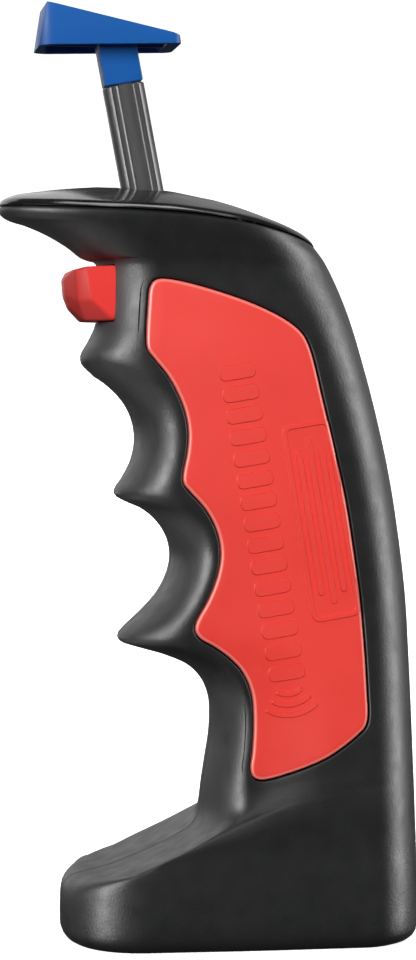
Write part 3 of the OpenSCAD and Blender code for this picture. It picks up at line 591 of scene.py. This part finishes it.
def window_path():
    """The button window's edge, from the middle plane round and back to it, as |y| and z."""
    across = np.linspace(0, WINDOW_HALF_W, 15)
    up = np.linspace(*WINDOW_Z, 13)[1:-1]
    return np.vstack([np.column_stack([across, 0 * across + WINDOW_Z[0]]),
                      np.column_stack([0 * up + WINDOW_HALF_W, up]),
                      np.column_stack([across[::-1], 0 * across + WINDOW_Z[1]])])


def in_window(points, margin=0.0):
    """Whether points (x, y, z) lie in the button's window, or within a margin of it."""
    x, y, z = np.moveaxis(np.asarray(points), -1, 0)
    return ((np.abs(y) < WINDOW_HALF_W + margin) & (z > WINDOW_Z[0] - margin)
            & (z < WINDOW_Z[1] + margin) & (x < WINDOW_BACK_X))


def shell_skin(cuts):
    """The left shell's outer face as points, triangles, and the points' u and v.

    cuts are its recesses, as (loop in x and z, floor y, edge radius).
    """
    u, v = (g.ravel() for g in np.meshgrid(U_COLUMNS, V_ROWS))
    grid = np.column_stack([u, v])
    place = skin(u, v)
    on_side = (u > 0.05) & (u < 2.95)
    keep = np.ones(len(grid), bool)
    scale = np.array([U_SCALE, 1])
    loops = []
    for loop, _, radius in cuts:
        gap = loop_distance(place[:, [0, 2]], loop)
        keep &= ~(on_side & (np.abs(gap - radius / 2) < radius / 2 + GRID_CLEAR))
        for share in RECESS_EDGE_ROWS:
            loops.append(skin_uv_at_xz(offset_loop(loop, radius * share)) * scale)
    window = skin_uv_at_yz(window_path())
    window[0, 0] = window[-1, 0] = 0
    beside = np.abs(grid[:, None] - window[None]) * scale
    keep &= np.hypot(*np.moveaxis(beside, 2, 0)).min(1) > WINDOW_CLEAR
    flat, faces = triangles(grid[keep] * scale, loops, window * scale)
    uv = flat / scale
    points = skin(uv[:, 0], uv[:, 1])
    points[np.abs(uv[:, 0]) < 1e-6, 1] = 0
    points[np.abs(uv[:, 0] - 3) < 1e-6, 1] = 0
    return points, faces, uv


def floor_plate():
    """The flat underside of the left shell, with the hatch's opening and a contact's slot."""
    border = skin(U_COLUMNS, np.zeros(len(U_COLUMNS)))[:, :2]
    border[[0, -1], 1] = 0
    hatch = np.column_stack(section(np.linspace(0, 3, 61), *HATCH_X, HATCH_HALF_W, HATCH_ROUND,
                                    HATCH_ROUND, HATCH_POWER))
    hatch[[0, -1], 1] = 0
    middle_front = np.linspace(border[0], hatch[0], 10)[1:]
    middle_back = np.linspace(hatch[-1], border[-1], 10)[:-1]
    rim = np.vstack([border, middle_back[::-1], hatch[::-1][1:], middle_front[::-1][1:]])
    slot = np.array([(x, -y) for x, y in zip(CONTACT_X + CONTACT_X[::-1], np.repeat(CONTACT_Y, 2))])
    gx, gy = np.meshgrid(np.arange(-22, 33, FLOOR_STEP), np.arange(-17, 0, FLOOR_STEP))
    inner = np.column_stack([gx.ravel(), gy.ravel()])
    room = (loop_distance(inner, rim) < -0.7) & (loop_distance(inner, spaced(slot, 0.6)) > 0.5)
    flat, faces = triangles(inner[room], [rim, slot], rim[:1])
    centres = flat[faces].mean(1)
    solid = (loop_distance(centres, rim) < 0) & (loop_distance(centres, slot) > 0)
    return np.column_stack([flat, np.zeros(len(flat))]), faces[solid]


def recessed_skin(cuts):
    """The left shell's outer face as a bmesh, without the window and with the recesses sunk in."""
    points, faces, uv = shell_skin(cuts)
    centres = points[faces].mean(1)
    side = (uv[:, 0] > 0.03) & (uv[:, 0] < 2.97)
    shown = points.copy()
    region = np.full(len(faces), -1)
    on_edge = []
    for k, (loop, _, radius) in enumerate(cuts):
        gap = np.where(side, loop_distance(points[:, [0, 2]], loop), FAR)
        shown[:, 1] += np.where(gap > -1e-4, edge_drop(gap, radius), 0) * (gap < radius)
        region[(loop_distance(centres[:, [0, 2]], loop) < 0) & (centres[:, 1] < -3)] = k
        on_edge.append(np.abs(gap) < 2e-3)
    bm = bmesh.new()
    top = [bm.verts.new(p) for p in shown]
    floors = [{} for _ in cuts]

    def floor_vertex(k, i):
        if i not in floors[k]:
            floors[k][i] = bm.verts.new((points[i][0], -cuts[k][1], points[i][2]))
        return floors[k][i]

    for f, k, gone in zip(faces.tolist(), region, in_window(centres)):
        if gone:
            continue
        if k < 0:
            bm.faces.new([top[i] for i in f])
            continue
        bm.faces.new([floor_vertex(k, i) for i in f])
        for a, b in zip(f, f[1:] + f[:1]):
            if on_edge[k][a] and on_edge[k][b]:
                bm.faces.new([top[a], top[b], floor_vertex(k, b), floor_vertex(k, a)])
    drop_loose(bm)
    return bm


def turn_in_window(bm):
    """Gives the button's window a wall."""
    edges = [e for e in bm.edges if len(e.link_faces) == 1
             and all(in_window(w.co, 0.02) for w in e.verts) and max(abs(w.co.y) for w in e.verts) > 1e-5]
    walls = bmesh.ops.extrude_edge_only(bm, edges=edges)["geom"]
    bmesh.ops.translate(bm, vec=(WINDOW_WALL, 0, 0),
                        verts=[g for g in walls if isinstance(g, bmesh.types.BMVert)])


def sink_seam(bm):
    """Chamfers the shell along the parting line, so that the two shells show a fine groove."""
    for vert in bm.verts:
        near = 1 - min(abs(vert.co.y) / SEAM_HALF_W, 1)
        if near > 0 and vert.co.z > SEAM_FOOT_Z:
            vert.co -= vert.normal * SEAM_DEPTH * near
            if abs(vert.co.y) < 0.1 and near == 1:
                vert.co.y = -SEAM_GAP


def half_shell(cuts):
    """The left shell as a thin-walled bmesh, its face cut by recesses with rounded edges."""
    bm = recessed_skin(cuts)
    turn_in_window(bm)
    add_faces(bm, *floor_plate())
    bmesh.ops.remove_doubles(bm, verts=bm.verts, dist=2e-4)
    bmesh.ops.recalc_face_normals(bm, faces=bm.faces)
    if sum(f.normal.y * f.calc_area() for f in bm.faces) > 0:
        bmesh.ops.reverse_faces(bm, faces=bm.faces)
    bm.normal_update()
    sink_seam(bm)
    return applied(bm, [("SOLIDIFY", {"thickness": SHELL_WALL, "offset": -1, "use_rim": True})])


inlay_line = spaced(catmull(INLAY_OUTLINE, closed=True), 0.55)
inlay_cut = (offset_loop(inlay_line, POCKET_GAP), INLAY_FLOOR_Y, POCKET_ROUND)
screw_cuts = [(circle(x, z, SCREW_RECESS_R), SCREW_SEAT_Y, RECESS_ROUND) for x, z in SCREW_POSTS]


# ---- grip inlay ----

INLAY_ROUND = 0.6
INLAY_EDGE_ROWS = [0, 0.1, 0.3, 0.6, 1]
INLAY_STEP = 0.8
EDGE_HIGHLIGHT_SHARE = 0.8      # share of the rounded edge that gets a painted highlight
RELIEF_H = 0.26
RELIEF_SLOPE = 0.14
RELIEF_CLEAR = 0.32
GRIP_LEAN = -80.6    # direction of the relief's column, down the grip, in degrees
LADDER_TOP = np.array([2.6, 94.2])
LADDER_STEP = 3.55
LADDER_BARS = 15
BAR_SIZE = [5.8, 2.3]
FRAME_CENTRE = np.array([16.45, 69.9])
FRAME_SIZE = [32.4, 8.0]
FRAME_HOLE = [31.2, 6.8]
STRIPES = [(-1.9, 24), (0, 27.4), (1.9, 24)]  # place across the frame, and length
STRIPE_W = 0.9
WAVE_RADII = [3.2, 4.9, 6.6]
WAVE_SPREAD = 38
WAVE_W = 0.65


def rounded_bar(centre, length, width, angle, radius):
    """Outline of a rounded rectangle, its length turned by an angle in degrees."""
    hl, hw = length / 2 - radius, width / 2 - radius
    points = []
    for i, (sx, sz) in enumerate(((1, 1), (-1, 1), (-1, -1), (1, -1))):
        points += corner(sx * hl, sz * hw, radius, i, 5)
    c, s = math.cos(math.radians(angle)), math.sin(math.radians(angle))
    corners = np.array([(centre[0] + c * x - s * z, centre[1] + s * x + c * z) for x, z in points])
    return spaced(corners, 0.45)


def arc_band(centre, radius):
    """Outline of a thin band along an arc round a centre, on its side down the grip."""
    a = np.radians(GRIP_LEAN) + np.linspace(-WAVE_SPREAD, WAVE_SPREAD, 15) * math.pi / 180
    outer, inner = (centre + r * np.column_stack([np.cos(a), np.sin(a)])
                    for r in (radius + WAVE_W / 2, radius - WAVE_W / 2))
    return spaced(np.vstack([outer, inner[::-1]]), 0.5)


def relief_shapes():
    """An inlay's raised shapes as (outline, hole or None): a ladder, a frame with stripes, waves."""
    down = np.array([math.cos(math.radians(GRIP_LEAN)), math.sin(math.radians(GRIP_LEAN))])
    across = np.array([-down[1], down[0]])
    shapes = [(rounded_bar(LADDER_TOP + down * LADDER_STEP * i, *BAR_SIZE, GRIP_LEAN + 90, 0.8), None)
              for i in range(LADDER_BARS)]
    shapes.append((rounded_bar(FRAME_CENTRE, *FRAME_SIZE, GRIP_LEAN, 1.3),
                   rounded_bar(FRAME_CENTRE, *FRAME_HOLE, GRIP_LEAN, 0.8)))
    shapes += [(rounded_bar(FRAME_CENTRE + across * aside, long, STRIPE_W, GRIP_LEAN, 0.4), None)
               for aside, long in STRIPES]
    wave_centre = LADDER_TOP + down * (LADDER_STEP * (LADDER_BARS - 1) + 0.4)
    return shapes + [(arc_band(wave_centre, radius), None) for radius in WAVE_RADII]


def inlay_mesh():
    """The left grip inlay: the housing's skin inside an outline, with a rounded edge and a relief."""
    edge = offset_loop(inlay_line, -POCKET_GAP)
    loops = [offset_loop(edge, -INLAY_ROUND * share) for share in INLAY_EDGE_ROWS]
    gx, gz = np.meshgrid(np.arange(-13, 25, INLAY_STEP), np.arange(26, 111, INLAY_STEP))
    grid = np.column_stack([gx.ravel(), gz.ravel()])
    keep = loop_distance(grid, edge) < -INLAY_ROUND - GRID_CLEAR
    shapes = relief_shapes()
    for shape in shapes:
        for line, way in zip(shape, (1, -1)):
            if line is not None:
                keep &= np.abs(loop_distance(grid, line) - RELIEF_SLOPE * way / 2) > RELIEF_CLEAR
                loops += [line, offset_loop(line, RELIEF_SLOPE * way)]
    flat, faces = triangles(grid[keep], loops)
    faces = faces[loop_distance(flat[faces].mean(1), edge) < 0]
    gap = -loop_distance(flat, edge)
    y = skin(*skin_uv_at_xz(flat).T)[:, 1] + edge_drop(gap, INLAY_ROUND)
    for outline, hole in shapes:
        rise = np.clip(1 - loop_distance(flat, outline) / RELIEF_SLOPE, 0, 1)
        if hole is not None:
            rise = np.minimum(rise, np.clip(1 + loop_distance(flat, hole) / RELIEF_SLOPE, 0, 1))
        y -= RELIEF_H * rise
    # the outer part of the rounded edge is marked for a painted highlight
    return inlay_solid(flat, y, faces, gap < INLAY_ROUND * EDGE_HIGHLIGHT_SHARE)


def inlay_solid(flat, y, faces, highlit):
    """The inlay as a bmesh, from its front at y to its floor, with the vertices that get a painted edge
    highlight marked "rim".
    """
    bm = bmesh.new()
    rim = bm.verts.layers.float.new("rim")
    tops = [bm.verts.new((p[0], h, p[1])) for p, h in zip(flat, y)]
    backs = [bm.verts.new((p[0], -INLAY_FLOOR_Y - 0.1, p[1])) for p in flat]
    # the marked vertices carry the painted edge highlight
    for vert, mark in zip(tops, highlit):
        vert[rim] = float(mark)
    for f in faces:
        bm.faces.new([tops[i] for i in f])
        bm.faces.new([backs[i] for i in f[::-1]])
    bm.verts.index_update()
    n = len(flat)
    pairs = [(e.verts[0].index, e.verts[1].index) for e in bm.edges if len(e.link_faces) == 1]
    for a, b in pairs:
        if a < n and b < n:
            bm.faces.new([tops[a], tops[b], backs[b], backs[a]])
    drop_loose(bm)
    return bm


# ---- top cover ----

EDGE_ROUND = 0.7
COVER_GAP = 0.08
COVER_WALL = 1.6
COVER_EDGE_H = 0.12
COVER_FOOT = [1.5, 0.15]  # the flat ring that rests on the shells
COVER_FRONT = -35
COVER_BACK_Z = float(back_height(RIM_Z))
COVER_BACK = float(back_x(COVER_BACK_Z))
HOLE_PLAY = 0.35
HOLE_FLARE = 0.45
HOLE_TOP = -0.75
COVER_INSETS = [0, 0.06, 0.15, 0.3, 0.5, 0.75, 1, 1.4, 1.9, 2.5, 3.2, 4, 5, 6, 7.2, 8.4, 9.6, 10.8,
                12, 13.2, 14.3, 15.3, RIM_HALF_W - 1]
UNDER_INSETS = COVER_INSETS[8:]


def dome(d):
    """Height of the cover above its rim at a distance from the rim."""
    edge = EDGE_ROUND * np.sqrt(1 - (1 - np.minimum(d, 1)) ** 2)
    return edge + (COVER_RISE - EDGE_ROUND) * (1 - (1 - d / RIM_HALF_W) ** 2)


def cover_ring(d, height):
    """A ring of the cover at a distance in from the rim. height(x, d) is above the rim."""
    u = np.concatenate([np.linspace(0, 1, 33), np.linspace(1, 2, 13)[1:], np.linspace(2, 3, 25)[1:]])
    x, y = section(u, COVER_FRONT + d, COVER_BACK - d, RIM_HALF_W - d,
                   float(nose_end_x(RIM_Z)) - COVER_FRONT - d, float(back_round(RIM_Z)) - d,
                   float(nose_power(RIM_Z)))
    y[[0, -1]] = 0
    z = leaned(x, COVER_FRONT, COVER_BACK, RIM_Z, COVER_BACK_Z) + height(x, d)
    left = np.column_stack([x, y, z])
    right = left[-2:0:-1] * [1, -1, 1]
    return np.vstack([left, right])


def cover_dome():
    """The closed cover before its holes are cut."""
    def top(x, d):
        return COVER_GAP + COVER_EDGE_H + np.maximum(0, dome(d * dome_ease(x)) - COVER_EDGE_H)

    def under(x, d):
        return np.maximum(COVER_GAP, dome(d * dome_ease(x)) - COVER_WALL)

    rings = [cover_ring(d, lambda x, d: COVER_GAP) for d in COVER_FOOT]
    rings += [cover_ring(d, top) for d in COVER_INSETS]
    rings += [cover_ring(d, under) for d in UNDER_INSETS[::-1]]
    n, m = len(rings[0]), len(rings)
    last_top = 1 + len(COVER_INSETS)
    faces = []
    for i in range(m):
        if i != last_top:
            k = (i + 1) % m
            faces += [[i * n + j, i * n + (j + 1) % n, k * n + (j + 1) % n, k * n + j] for j in range(n)]
    for i in (last_top, last_top + 1):
        faces += [[i * n + j, i * n + j + 1, i * n + (n - j - 1) % n, i * n + (n - j) % n]
                  for j in range(n // 2)]
    bm = bmesh.new()
    add_faces(bm, np.vstack(rings), [list(dict.fromkeys(f)) for f in faces])
    bmesh.ops.remove_doubles(bm, verts=bm.verts, dist=1e-4)
    bmesh.ops.recalc_face_normals(bm, faces=bm.faces)
    return bm


def cover_mesh():
    """The top cover with its snap hooks, a flared hole for the shaft and a hole for the light pipe."""
    r = SHAFT_R + HOLE_PLAY
    flare = [(-10, r), (HOLE_TOP, r)]
    flare += [(HOLE_TOP + HOLE_FLARE * math.sin(a), r + HOLE_FLARE * (1 - math.cos(a)))
              for a in np.linspace(0.2, QUARTER, 5)]
    flare += [(6, r + HOLE_FLARE + 0.1)]
    shaft_hole = lathe(flare, 64, along_plunger())
    lens_hole = lathe([(-10, LENS_R), (10, LENS_R)], 40, Matrix.Translation((LENS_X, 0, RIM_Z)))
    hooks = [block(*limits) for limits in COVER_HOOKS]
    return boolean(boolean(cover_dome(), "UNION", hooks), "DIFFERENCE", [shaft_hole, lens_hole])


# ---- plunger and thumb cap ----

def cap_plan(inset):
    """Outline of the cap seen from above, with rounded corners."""
    h = CAP_HALF_W - inset
    rx = [max(c - inset, 0.4) for c in CAP_CORNERS]
    x = [CAP_X[0] + inset + rx[0], CAP_X[1] - inset - rx[1]]
    return (corner(x[1], h - rx[1], rx[1], 0, 9) + corner(x[0], h - rx[0], rx[0], 1, 9)
            + corner(x[0], rx[0] - h, rx[0], 2, 9) + corner(x[1], rx[1] - h, rx[1], 3, 9))


def wedge(side, inset):
    """A part of the cap between its side outline and its plan."""
    half = CAP_HALF_W - inset
    return boolean(prism(side, "y", -half, half), "INTERSECT", [prism(cap_plan(inset), "z", 140, 170)])


def cap_mesh():
    """The thumb cap: a wedge-shaped pad, hollow below, on a square stem with a thin rib."""
    pad = bevel(wedge(CAP_SIDE, 0), 0.45, 4)
    pad = boolean(pad, "DIFFERENCE", [bevel(wedge(CAP_HOLLOW, CAP_WALL), 0.35, 2)])
    stem = bevel(block(*CAP_STEM), 0.3, 3)
    bmesh.ops.transform(stem, matrix=along_plunger(SHAFT_TOP), verts=stem.verts)
    (x0, z0), (x1, z1) = CAP_SIDE[1:3]
    half = CAP_WALL / 2
    below_roof = [(x0, 130), (x0, z0 - half), (x1, z1 - half), (x1, 130)]
    stem = boolean(stem, "INTERSECT", [prism(below_roof, "y", -CAP_HALF_W, CAP_HALF_W)])
    return boolean(pad, "UNION", [stem, prism(CAP_RIB, "y", -CAP_RIB_HALF_W, CAP_RIB_HALF_W)])


def fluted(a, height, r):
    """The shaft's radius at an angle and height, less its flutes, which fade out inside the housing."""
    if r < SHAFT_R - 0.6 or height < FLUTE_FOOT - 1:
        return r
    depth = 0
    for flute in FLUTE_ANGLES:
        off = (a - math.radians(flute) + math.pi) % (2 * math.pi) - math.pi
        chord = abs(off) * SHAFT_R
        if chord < FLUTE_R:
            depth = max(depth, math.sqrt(FLUTE_R ** 2 - chord ** 2) * FLUTE_DEPTH)
    fade = min(1, max(0, (height - FLUTE_FOOT) / 1.2))
    return r - depth * fade


def shaft_mesh():
    """The plunger's shaft, fluted where it shows, with a peg at each end."""
    round_r = 0.35
    top = [(SHAFT_TOP - round_r + round_r * math.sin(a), SHAFT_R - round_r + round_r * math.cos(a))
           for a in np.linspace(0, QUARTER, 5)]
    profile = [(CARRIAGE_TOP - 6, 2), (CARRIAGE_TOP, 2), (CARRIAGE_TOP, SHAFT_R)]
    profile += [(s, SHAFT_R) for s in np.linspace(CARRIAGE_TOP + 0.5, SHAFT_TOP - 0.8, 60)]
    profile += top + [(SHAFT_TOP, 1.8), (SHAFT_TOP + 4, 1.8)]
    return lathe(profile, 180, along_plunger(), fluted)


# ---- front button ----

def button_head():
    """The button's faceted head as a solid."""
    head = [(x + 0.04, y * BUTTON_CROWN_HALF_W, z) for x, z in BUTTON_CROWN for y in (-1, 0, 1)]
    head += [(x, y * w, z) for x, w, z in BUTTON_FACE for y in (-1, 1)]
    head += [(x, y * w, z) for x in (BUTTON_CORE_X, BUTTON_BACK_X) for y in (-1, 1) for w, z in BUTTON_BACK]
    bm = bmesh.new()
    for p in head:
        bm.verts.new(p)
    bmesh.ops.convex_hull(bm, input=bm.verts)
    bmesh.ops.dissolve_limit(bm, angle_limit=math.radians(1), verts=bm.verts, edges=bm.edges)
    return bm


def button_mesh():
    """The button: its head with softly rounded edges, hollow behind, and its two stop lips."""
    half = BUTTON_CORE_HALF_W
    bore_place = Matrix.Translation((0, 0, BUTTON_BORE_Z)) @ Matrix.Rotation(QUARTER, 4, "Y")
    core = [block([BUTTON_CORE_X, 0], [-half, half], [90, 130]),
            lathe([(BUTTON_BORE_END, BUTTON_BORE_R), (-10, BUTTON_BORE_R)], 32, bore_place)]
    lips = [block([BUTTON_LIP_X, BUTTON_BACK_X], y, BUTTON_LIP_Z) for y in BUTTON_LIPS_Y]
    return boolean(boolean(bevel(button_head(), 0.4, 4, 8), "UNION", lips), "DIFFERENCE", core)


# ---- materials ----

TONE_SCALE = 45    # noise scales: features are about 1 / scale metres across
GLOSS_SCALE = 320
WAVE_SCALE = 140
WAVE_DEPTH = 0.0002
GRAIN_DEPTH = 0.00006
BRUSH_DEPTH = 0.00002


def feed(node, inputs):
    """Sets a node's sockets, each to a value or to another node's output."""
    for name, value in inputs.items():
        socket = node.inputs[name]
        if isinstance(value, bpy.types.NodeSocket):
            node.id_data.links.new(value, socket)
        else:
            socket.default_value = value


def add_node(tree, kind, inputs):
    """A new shader node with its sockets set."""
    node = tree.nodes.new("ShaderNode" + kind)
    feed(node, inputs)
    return node


def material(name, colour, roughness, metallic=0.0, coat=0.0, ior=1.5):
    """A new Principled material in MATERIALS. Returns its node tree and shader."""
    m = bpy.data.materials.new(name)
    MATERIALS[name] = m
    m.use_nodes = True
    shader = m.node_tree.nodes["Principled BSDF"]
    feed(shader, {"Base Color": (*colour, 1), "Roughness": roughness, "Metallic": metallic,
                  "Coat Weight": coat, "IOR": ior})
    return m.node_tree, shader


def noise(tree, scale, detail, stretch=(1, 1, 1)):
    """Noise in object space."""
    where = add_node(tree, "TexCoord", {}).outputs["Object"]
    mapped = add_node(tree, "Mapping", {"Vector": where, "Scale": stretch}).outputs["Vector"]
    return add_node(tree, "TexNoise", {"Vector": mapped, "Scale": scale, "Detail": detail}).outputs["Fac"]


def ramp(tree, factor, low, high):
    """Colours or greys from low to high along the middle of a factor's range."""
    node = add_node(tree, "ValToRGB", {"Fac": factor})
    for element, place, value in zip(node.color_ramp.elements, (0.3, 0.7), (low, high)):
        element.position = place
        element.color = (*value, 1) if isinstance(value, tuple) else (value, value, value, 1)
    return node.outputs["Color"]


def bump(tree, shader, height, strength, distance, under=None):
    """Adds a bump to a shader's normal, on top of another one if given, and returns it."""
    node = add_node(tree, "Bump", {"Strength": strength, "Distance": distance, "Height": height})
    if under:
        feed(node, {"Normal": under})
    feed(shader, {"Normal": node.outputs["Normal"]})
    return node.outputs["Normal"]


def shade(colour, factor):
    """A colour made darker or lighter."""
    return tuple(min(1.0, c * factor) for c in colour)


def plastic(name, colour, roughness, vary=0.12, grain=0.0, grain_scale=2600, wave=0.0, rough_vary=0.06,
            specular=0.5, rim=None):
    """Moulded plastic: slow changes of tone, uneven gloss, and a spark-eroded grain if asked.

    rim is the colour painted where the mesh's own "rim" value is 1, as a highlight along a rounded edge.
    """
    tree, shader = material(name, colour, roughness)
    body = ramp(tree, noise(tree, TONE_SCALE, 2), shade(colour, 1 - vary), shade(colour, 1 + vary))
    # paints the highlight colour where the "rim" value is 1
    if rim:
        marked = add_node(tree, "Attribute", {})
        marked.attribute_name = "rim"
        mix = add_node(tree, "Mix", {})
        mix.data_type = "RGBA"
        feed(mix, {"Factor": marked.outputs["Fac"], "A": body, "B": (*rim, 1)})
        body = mix.outputs["Result"]
    gloss = ramp(tree, noise(tree, GLOSS_SCALE, 4), roughness - rough_vary, roughness + rough_vary)
    feed(shader, {"Base Color": body, "Roughness": gloss, "Specular IOR Level": specular})
    normal = None
    if wave:
        normal = bump(tree, shader, noise(tree, WAVE_SCALE, 1), wave, WAVE_DEPTH)
    if grain:
        bump(tree, shader, noise(tree, grain_scale, 2), grain, GRAIN_DEPTH, normal)


def metal(name, colour, roughness, stretch, scale=900):
    """Metal with fine drawn or brushed lines."""
    tree, shader = material(name, colour, roughness, metallic=1.0)
    lines = noise(tree, scale, 3, stretch)
    feed(shader, {"Base Color": ramp(tree, lines, shade(colour, 0.82), shade(colour, 1.08)),
                  "Roughness": ramp(tree, noise(tree, 260, 3), roughness - 0.06, roughness + 0.1)})
    bump(tree, shader, lines, 0.12, BRUSH_DEPTH)


def circuit(name, mask, copper):
    """A printed board: solder mask in blocks with lighter tracks between them."""
    tree, shader = material(name, mask, 0.35, coat=0.2)
    where = add_node(tree, "TexCoord", {}).outputs["Object"]
    turned = add_node(tree, "Mapping", {"Vector": where, "Rotation": (QUARTER, 0, 0)}).outputs["Vector"]
    brick = add_node(tree, "TexBrick", {
        "Vector": turned, "Scale": 120, "Mortar Size": 0.03, "Color1": (*mask, 1),
        "Color2": (*shade(mask, 0.85), 1), "Mortar": (*copper, 1)})
    feed(shader, {"Base Color": brick.outputs["Color"]})
    bump(tree, shader, noise(tree, 700, 2), 0.1, 0.00003)


def clear(name):
    """Clear plastic with slightly uneven gloss."""
    tree, shader = material(name, (0.92, 0.95, 0.97), 0.12, ior=1.58)
    feed(shader, {"Transmission Weight": 0.9, "Roughness": ramp(tree, noise(tree, 400, 2), 0.08, 0.2)})
    bump(tree, shader, noise(tree, 900, 2), 0.05, BRUSH_DEPTH)


plastic("shell_black", (0.0085, 0.0088, 0.0095), 0.49, vary=0.15, grain=0.55, grain_scale=2300, wave=0.05)
plastic("cover_black", (0.008, 0.008, 0.009), 0.16, vary=0.15, grain=0.03, wave=0.06, rough_vary=0.03)
# the inlay's rim colour is a lighter pink painted along its rounded edge as a highlight
plastic("inlay_red", (0.77, 0.046, 0.034), 0.42, vary=0.05, grain=0.12, rim=(0.95, 0.21, 0.17))
plastic("cap_blue", (0.009, 0.098, 0.37), 0.46, vary=0.06, grain=0.06, specular=0.15)
plastic("shaft_black", (0.055, 0.053, 0.055), 0.34, vary=0.2, grain=0.1, grain_scale=1800)
plastic("button_red", (0.78, 0.045, 0.038), 0.5, vary=0.05, grain=0.08, specular=0.12)
metal("screw_steel", (0.58, 0.59, 0.61), 0.32, (1, 8, 1))
metal("contact_brass", (0.86, 0.66, 0.30), 0.26, (1, 6, 1))
clear("clear_plastic")
plastic("guide_white", (0.72, 0.71, 0.66), 0.45, vary=0.05, grain=0.1)
plastic("bumper_rubber", (0.02, 0.02, 0.021), 0.75, vary=0.2, grain=0.4, grain_scale=1500)
metal("spring_steel", (0.62, 0.63, 0.65), 0.22, (1, 1, 12), 1400)
circuit("board_green", (0.012, 0.16, 0.05), (0.05, 0.32, 0.10))
plastic("track_carbon", (0.012, 0.012, 0.012), 0.55, vary=0.3, grain=0.3)
plastic("switch_black", (0.02, 0.021, 0.023), 0.4, vary=0.15, grain=0.15)
plastic("led_white", (0.8, 0.8, 0.74), 0.3, vary=0.04, grain=0.05)
plastic("chip_black", (0.015, 0.015, 0.016), 0.55, vary=0.25, grain=0.3)
circuit("module_green", (0.01, 0.05, 0.18), (0.05, 0.16, 0.4))
metal("shield_steel", (0.66, 0.67, 0.68), 0.28, (6, 1, 1))
plastic("battery_wrap", (0.24, 0.28, 0.33), 0.28, vary=0.08, wave=0.25)
plastic("wire_red", (0.45, 0.015, 0.012), 0.45, vary=0.08, grain=0.1)
plastic("wire_white", (0.62, 0.62, 0.58), 0.45, vary=0.05, grain=0.1)

node_slot = {s["node"]: s["material_slot"] for s in frame["record"]["subparts"]}
for node, obj in frame["nodes"].items():
    obj.data.materials.clear()
    obj.data.materials.append(MATERIALS[node_slot[node]])
    for face in obj.data.polygons:
        face.material_index = 0


# ---- pieces ----

new_piece("left_shell_skin", half_shell([inlay_cut]), "housing", "shell_black", "left_shell")
new_piece("right_shell_skin", mirrored(half_shell([inlay_cut] + screw_cuts)), "housing", "shell_black",
          "right_shell")
new_piece("left_inlay_skin", inlay_mesh(), "housing", "inlay_red", "left_grip_inlay")
new_piece("right_inlay_skin", mirrored(inlay_mesh()), "housing", "inlay_red", "right_grip_inlay")
new_piece("top_cover_skin", cover_mesh(), "housing", "cover_black", "top_cover")
new_piece("thumb_cap_skin", cap_mesh(), "plunger", "cap_blue", "thumb_cap")
new_piece("plunger_shaft_skin", shaft_mesh(), "plunger", "shaft_black", "plunger_shaft")
new_piece("front_button_skin", button_mesh(), "button", "button_red", "front_button")


# ---- floor, light and camera ----

def stage():
    """A pale floor that curves up into a backdrop."""
    far, rise, radius = 1.6, 2.4, 0.8
    profile = [(-3, 0), (far - radius, 0)]
    profile += [(far - radius + radius * math.sin(a), radius - radius * math.cos(a))
                for a in np.linspace(0.1, QUARTER, 16)]
    profile += [(far, rise)]
    points = [(x, y, z) for x in (-4, 4) for y, z in profile]
    n = len(profile)
    bm = bmesh.new()
    add_faces(bm, points, [[i, i + 1, n + i + 1, n + i] for i in range(n - 1)])
    mesh = mesh_from(bm, "stage")
    for face in mesh.polygons:
        face.use_smooth = True
    obj = scene_object("stage", mesh)
    tree, shader = material("stage_white", (0.9, 0.9, 0.9), 0.9)
    feed(shader, {"Emission Color": (1, 1, 1, 1), "Emission Strength": 0.85,
                  "Base Color": ramp(tree, noise(tree, 3, 2), 0.89, 0.91)})
    mesh.materials.append(MATERIALS["stage_white"])
    obj.visible_glossy = False
    obj.visible_diffuse = False


def area_light(name, at, size, power, use="both", toward=(0, 0, 0.08)):
    """A rectangular soft light, in metres and watts, that gives "gloss", "fill" or "both"."""
    data = bpy.data.lights.new(name, "AREA")
    data.shape = "RECTANGLE"
    data.size, data.size_y = size
    data.energy = power
    light = scene_object(name, data)
    light.location = at
    light.rotation_euler = (Vector(toward) - Vector(at)).to_track_quat("-Z", "Y").to_euler()
    light.visible_camera = False
    light.visible_glossy = use != "fill"
    light.visible_diffuse = use != "gloss"


stage()
area_light("left_strip", (-0.90, -0.30, 0.25), (0.5, 0.9), 26, "gloss")
area_light("right_strip", (0.86, -0.07, 0.22), (0.58, 0.8), 15.5, "gloss")
area_light("back_panel", (-0.40, 1.1, 0.50), (1.0, 1.0), 3.4)
area_light("back_panel_right", (0.60, 1.1, 0.45), (0.9, 0.9), 0.8)
area_light("floor_glow", (-0.24, 0.02, 0.004), (0.38, 0.16), 0.16, "gloss", toward=(-0.24, 0.0201, 1))
area_light("top_panel", (-0.05, 0.05, 0.95), (0.6, 0.5), 5)
area_light("front_fill", (-0.14, -1.0, 0.40), (0.7, 0.6), 12.6, "fill")
area_light("rear_fill", (-0.3, 1.0, 0.50), (0.7, 0.6), 8, "fill")

world = bpy.data.worlds.new("studio")
world.use_nodes = True
feed(world.node_tree.nodes["Background"], {"Color": (1, 1, 1, 1), "Strength": 0.05})
bpy.context.scene.world = world

# The camera looks at the left side, a little from the front and from above
VIEW_TURN = -8.0
VIEW_TILT = 1.6
VIEW_DISTANCE = 0.5
VIEW_HEIGHT = 0.1608
SENSOR_HEIGHT = 36
TARGET = Vector((0, 0, 0.0762))

turn, tilt = math.radians(VIEW_TURN), math.radians(VIEW_TILT)
forward = Vector((-math.sin(turn) * math.cos(tilt), math.cos(turn) * math.cos(tilt), -math.sin(tilt)))
camera_data = bpy.data.cameras.new("camera")
camera_data.sensor_fit = "VERTICAL"
camera_data.sensor_height = SENSOR_HEIGHT
camera_data.lens = VIEW_DISTANCE / VIEW_HEIGHT * SENSOR_HEIGHT
camera = scene_object("camera", camera_data)
camera.location = TARGET - forward * VIEW_DISTANCE
camera.rotation_euler = forward.to_track_quat("-Z", "Y").to_euler()
bpy.context.scene.camera = camera
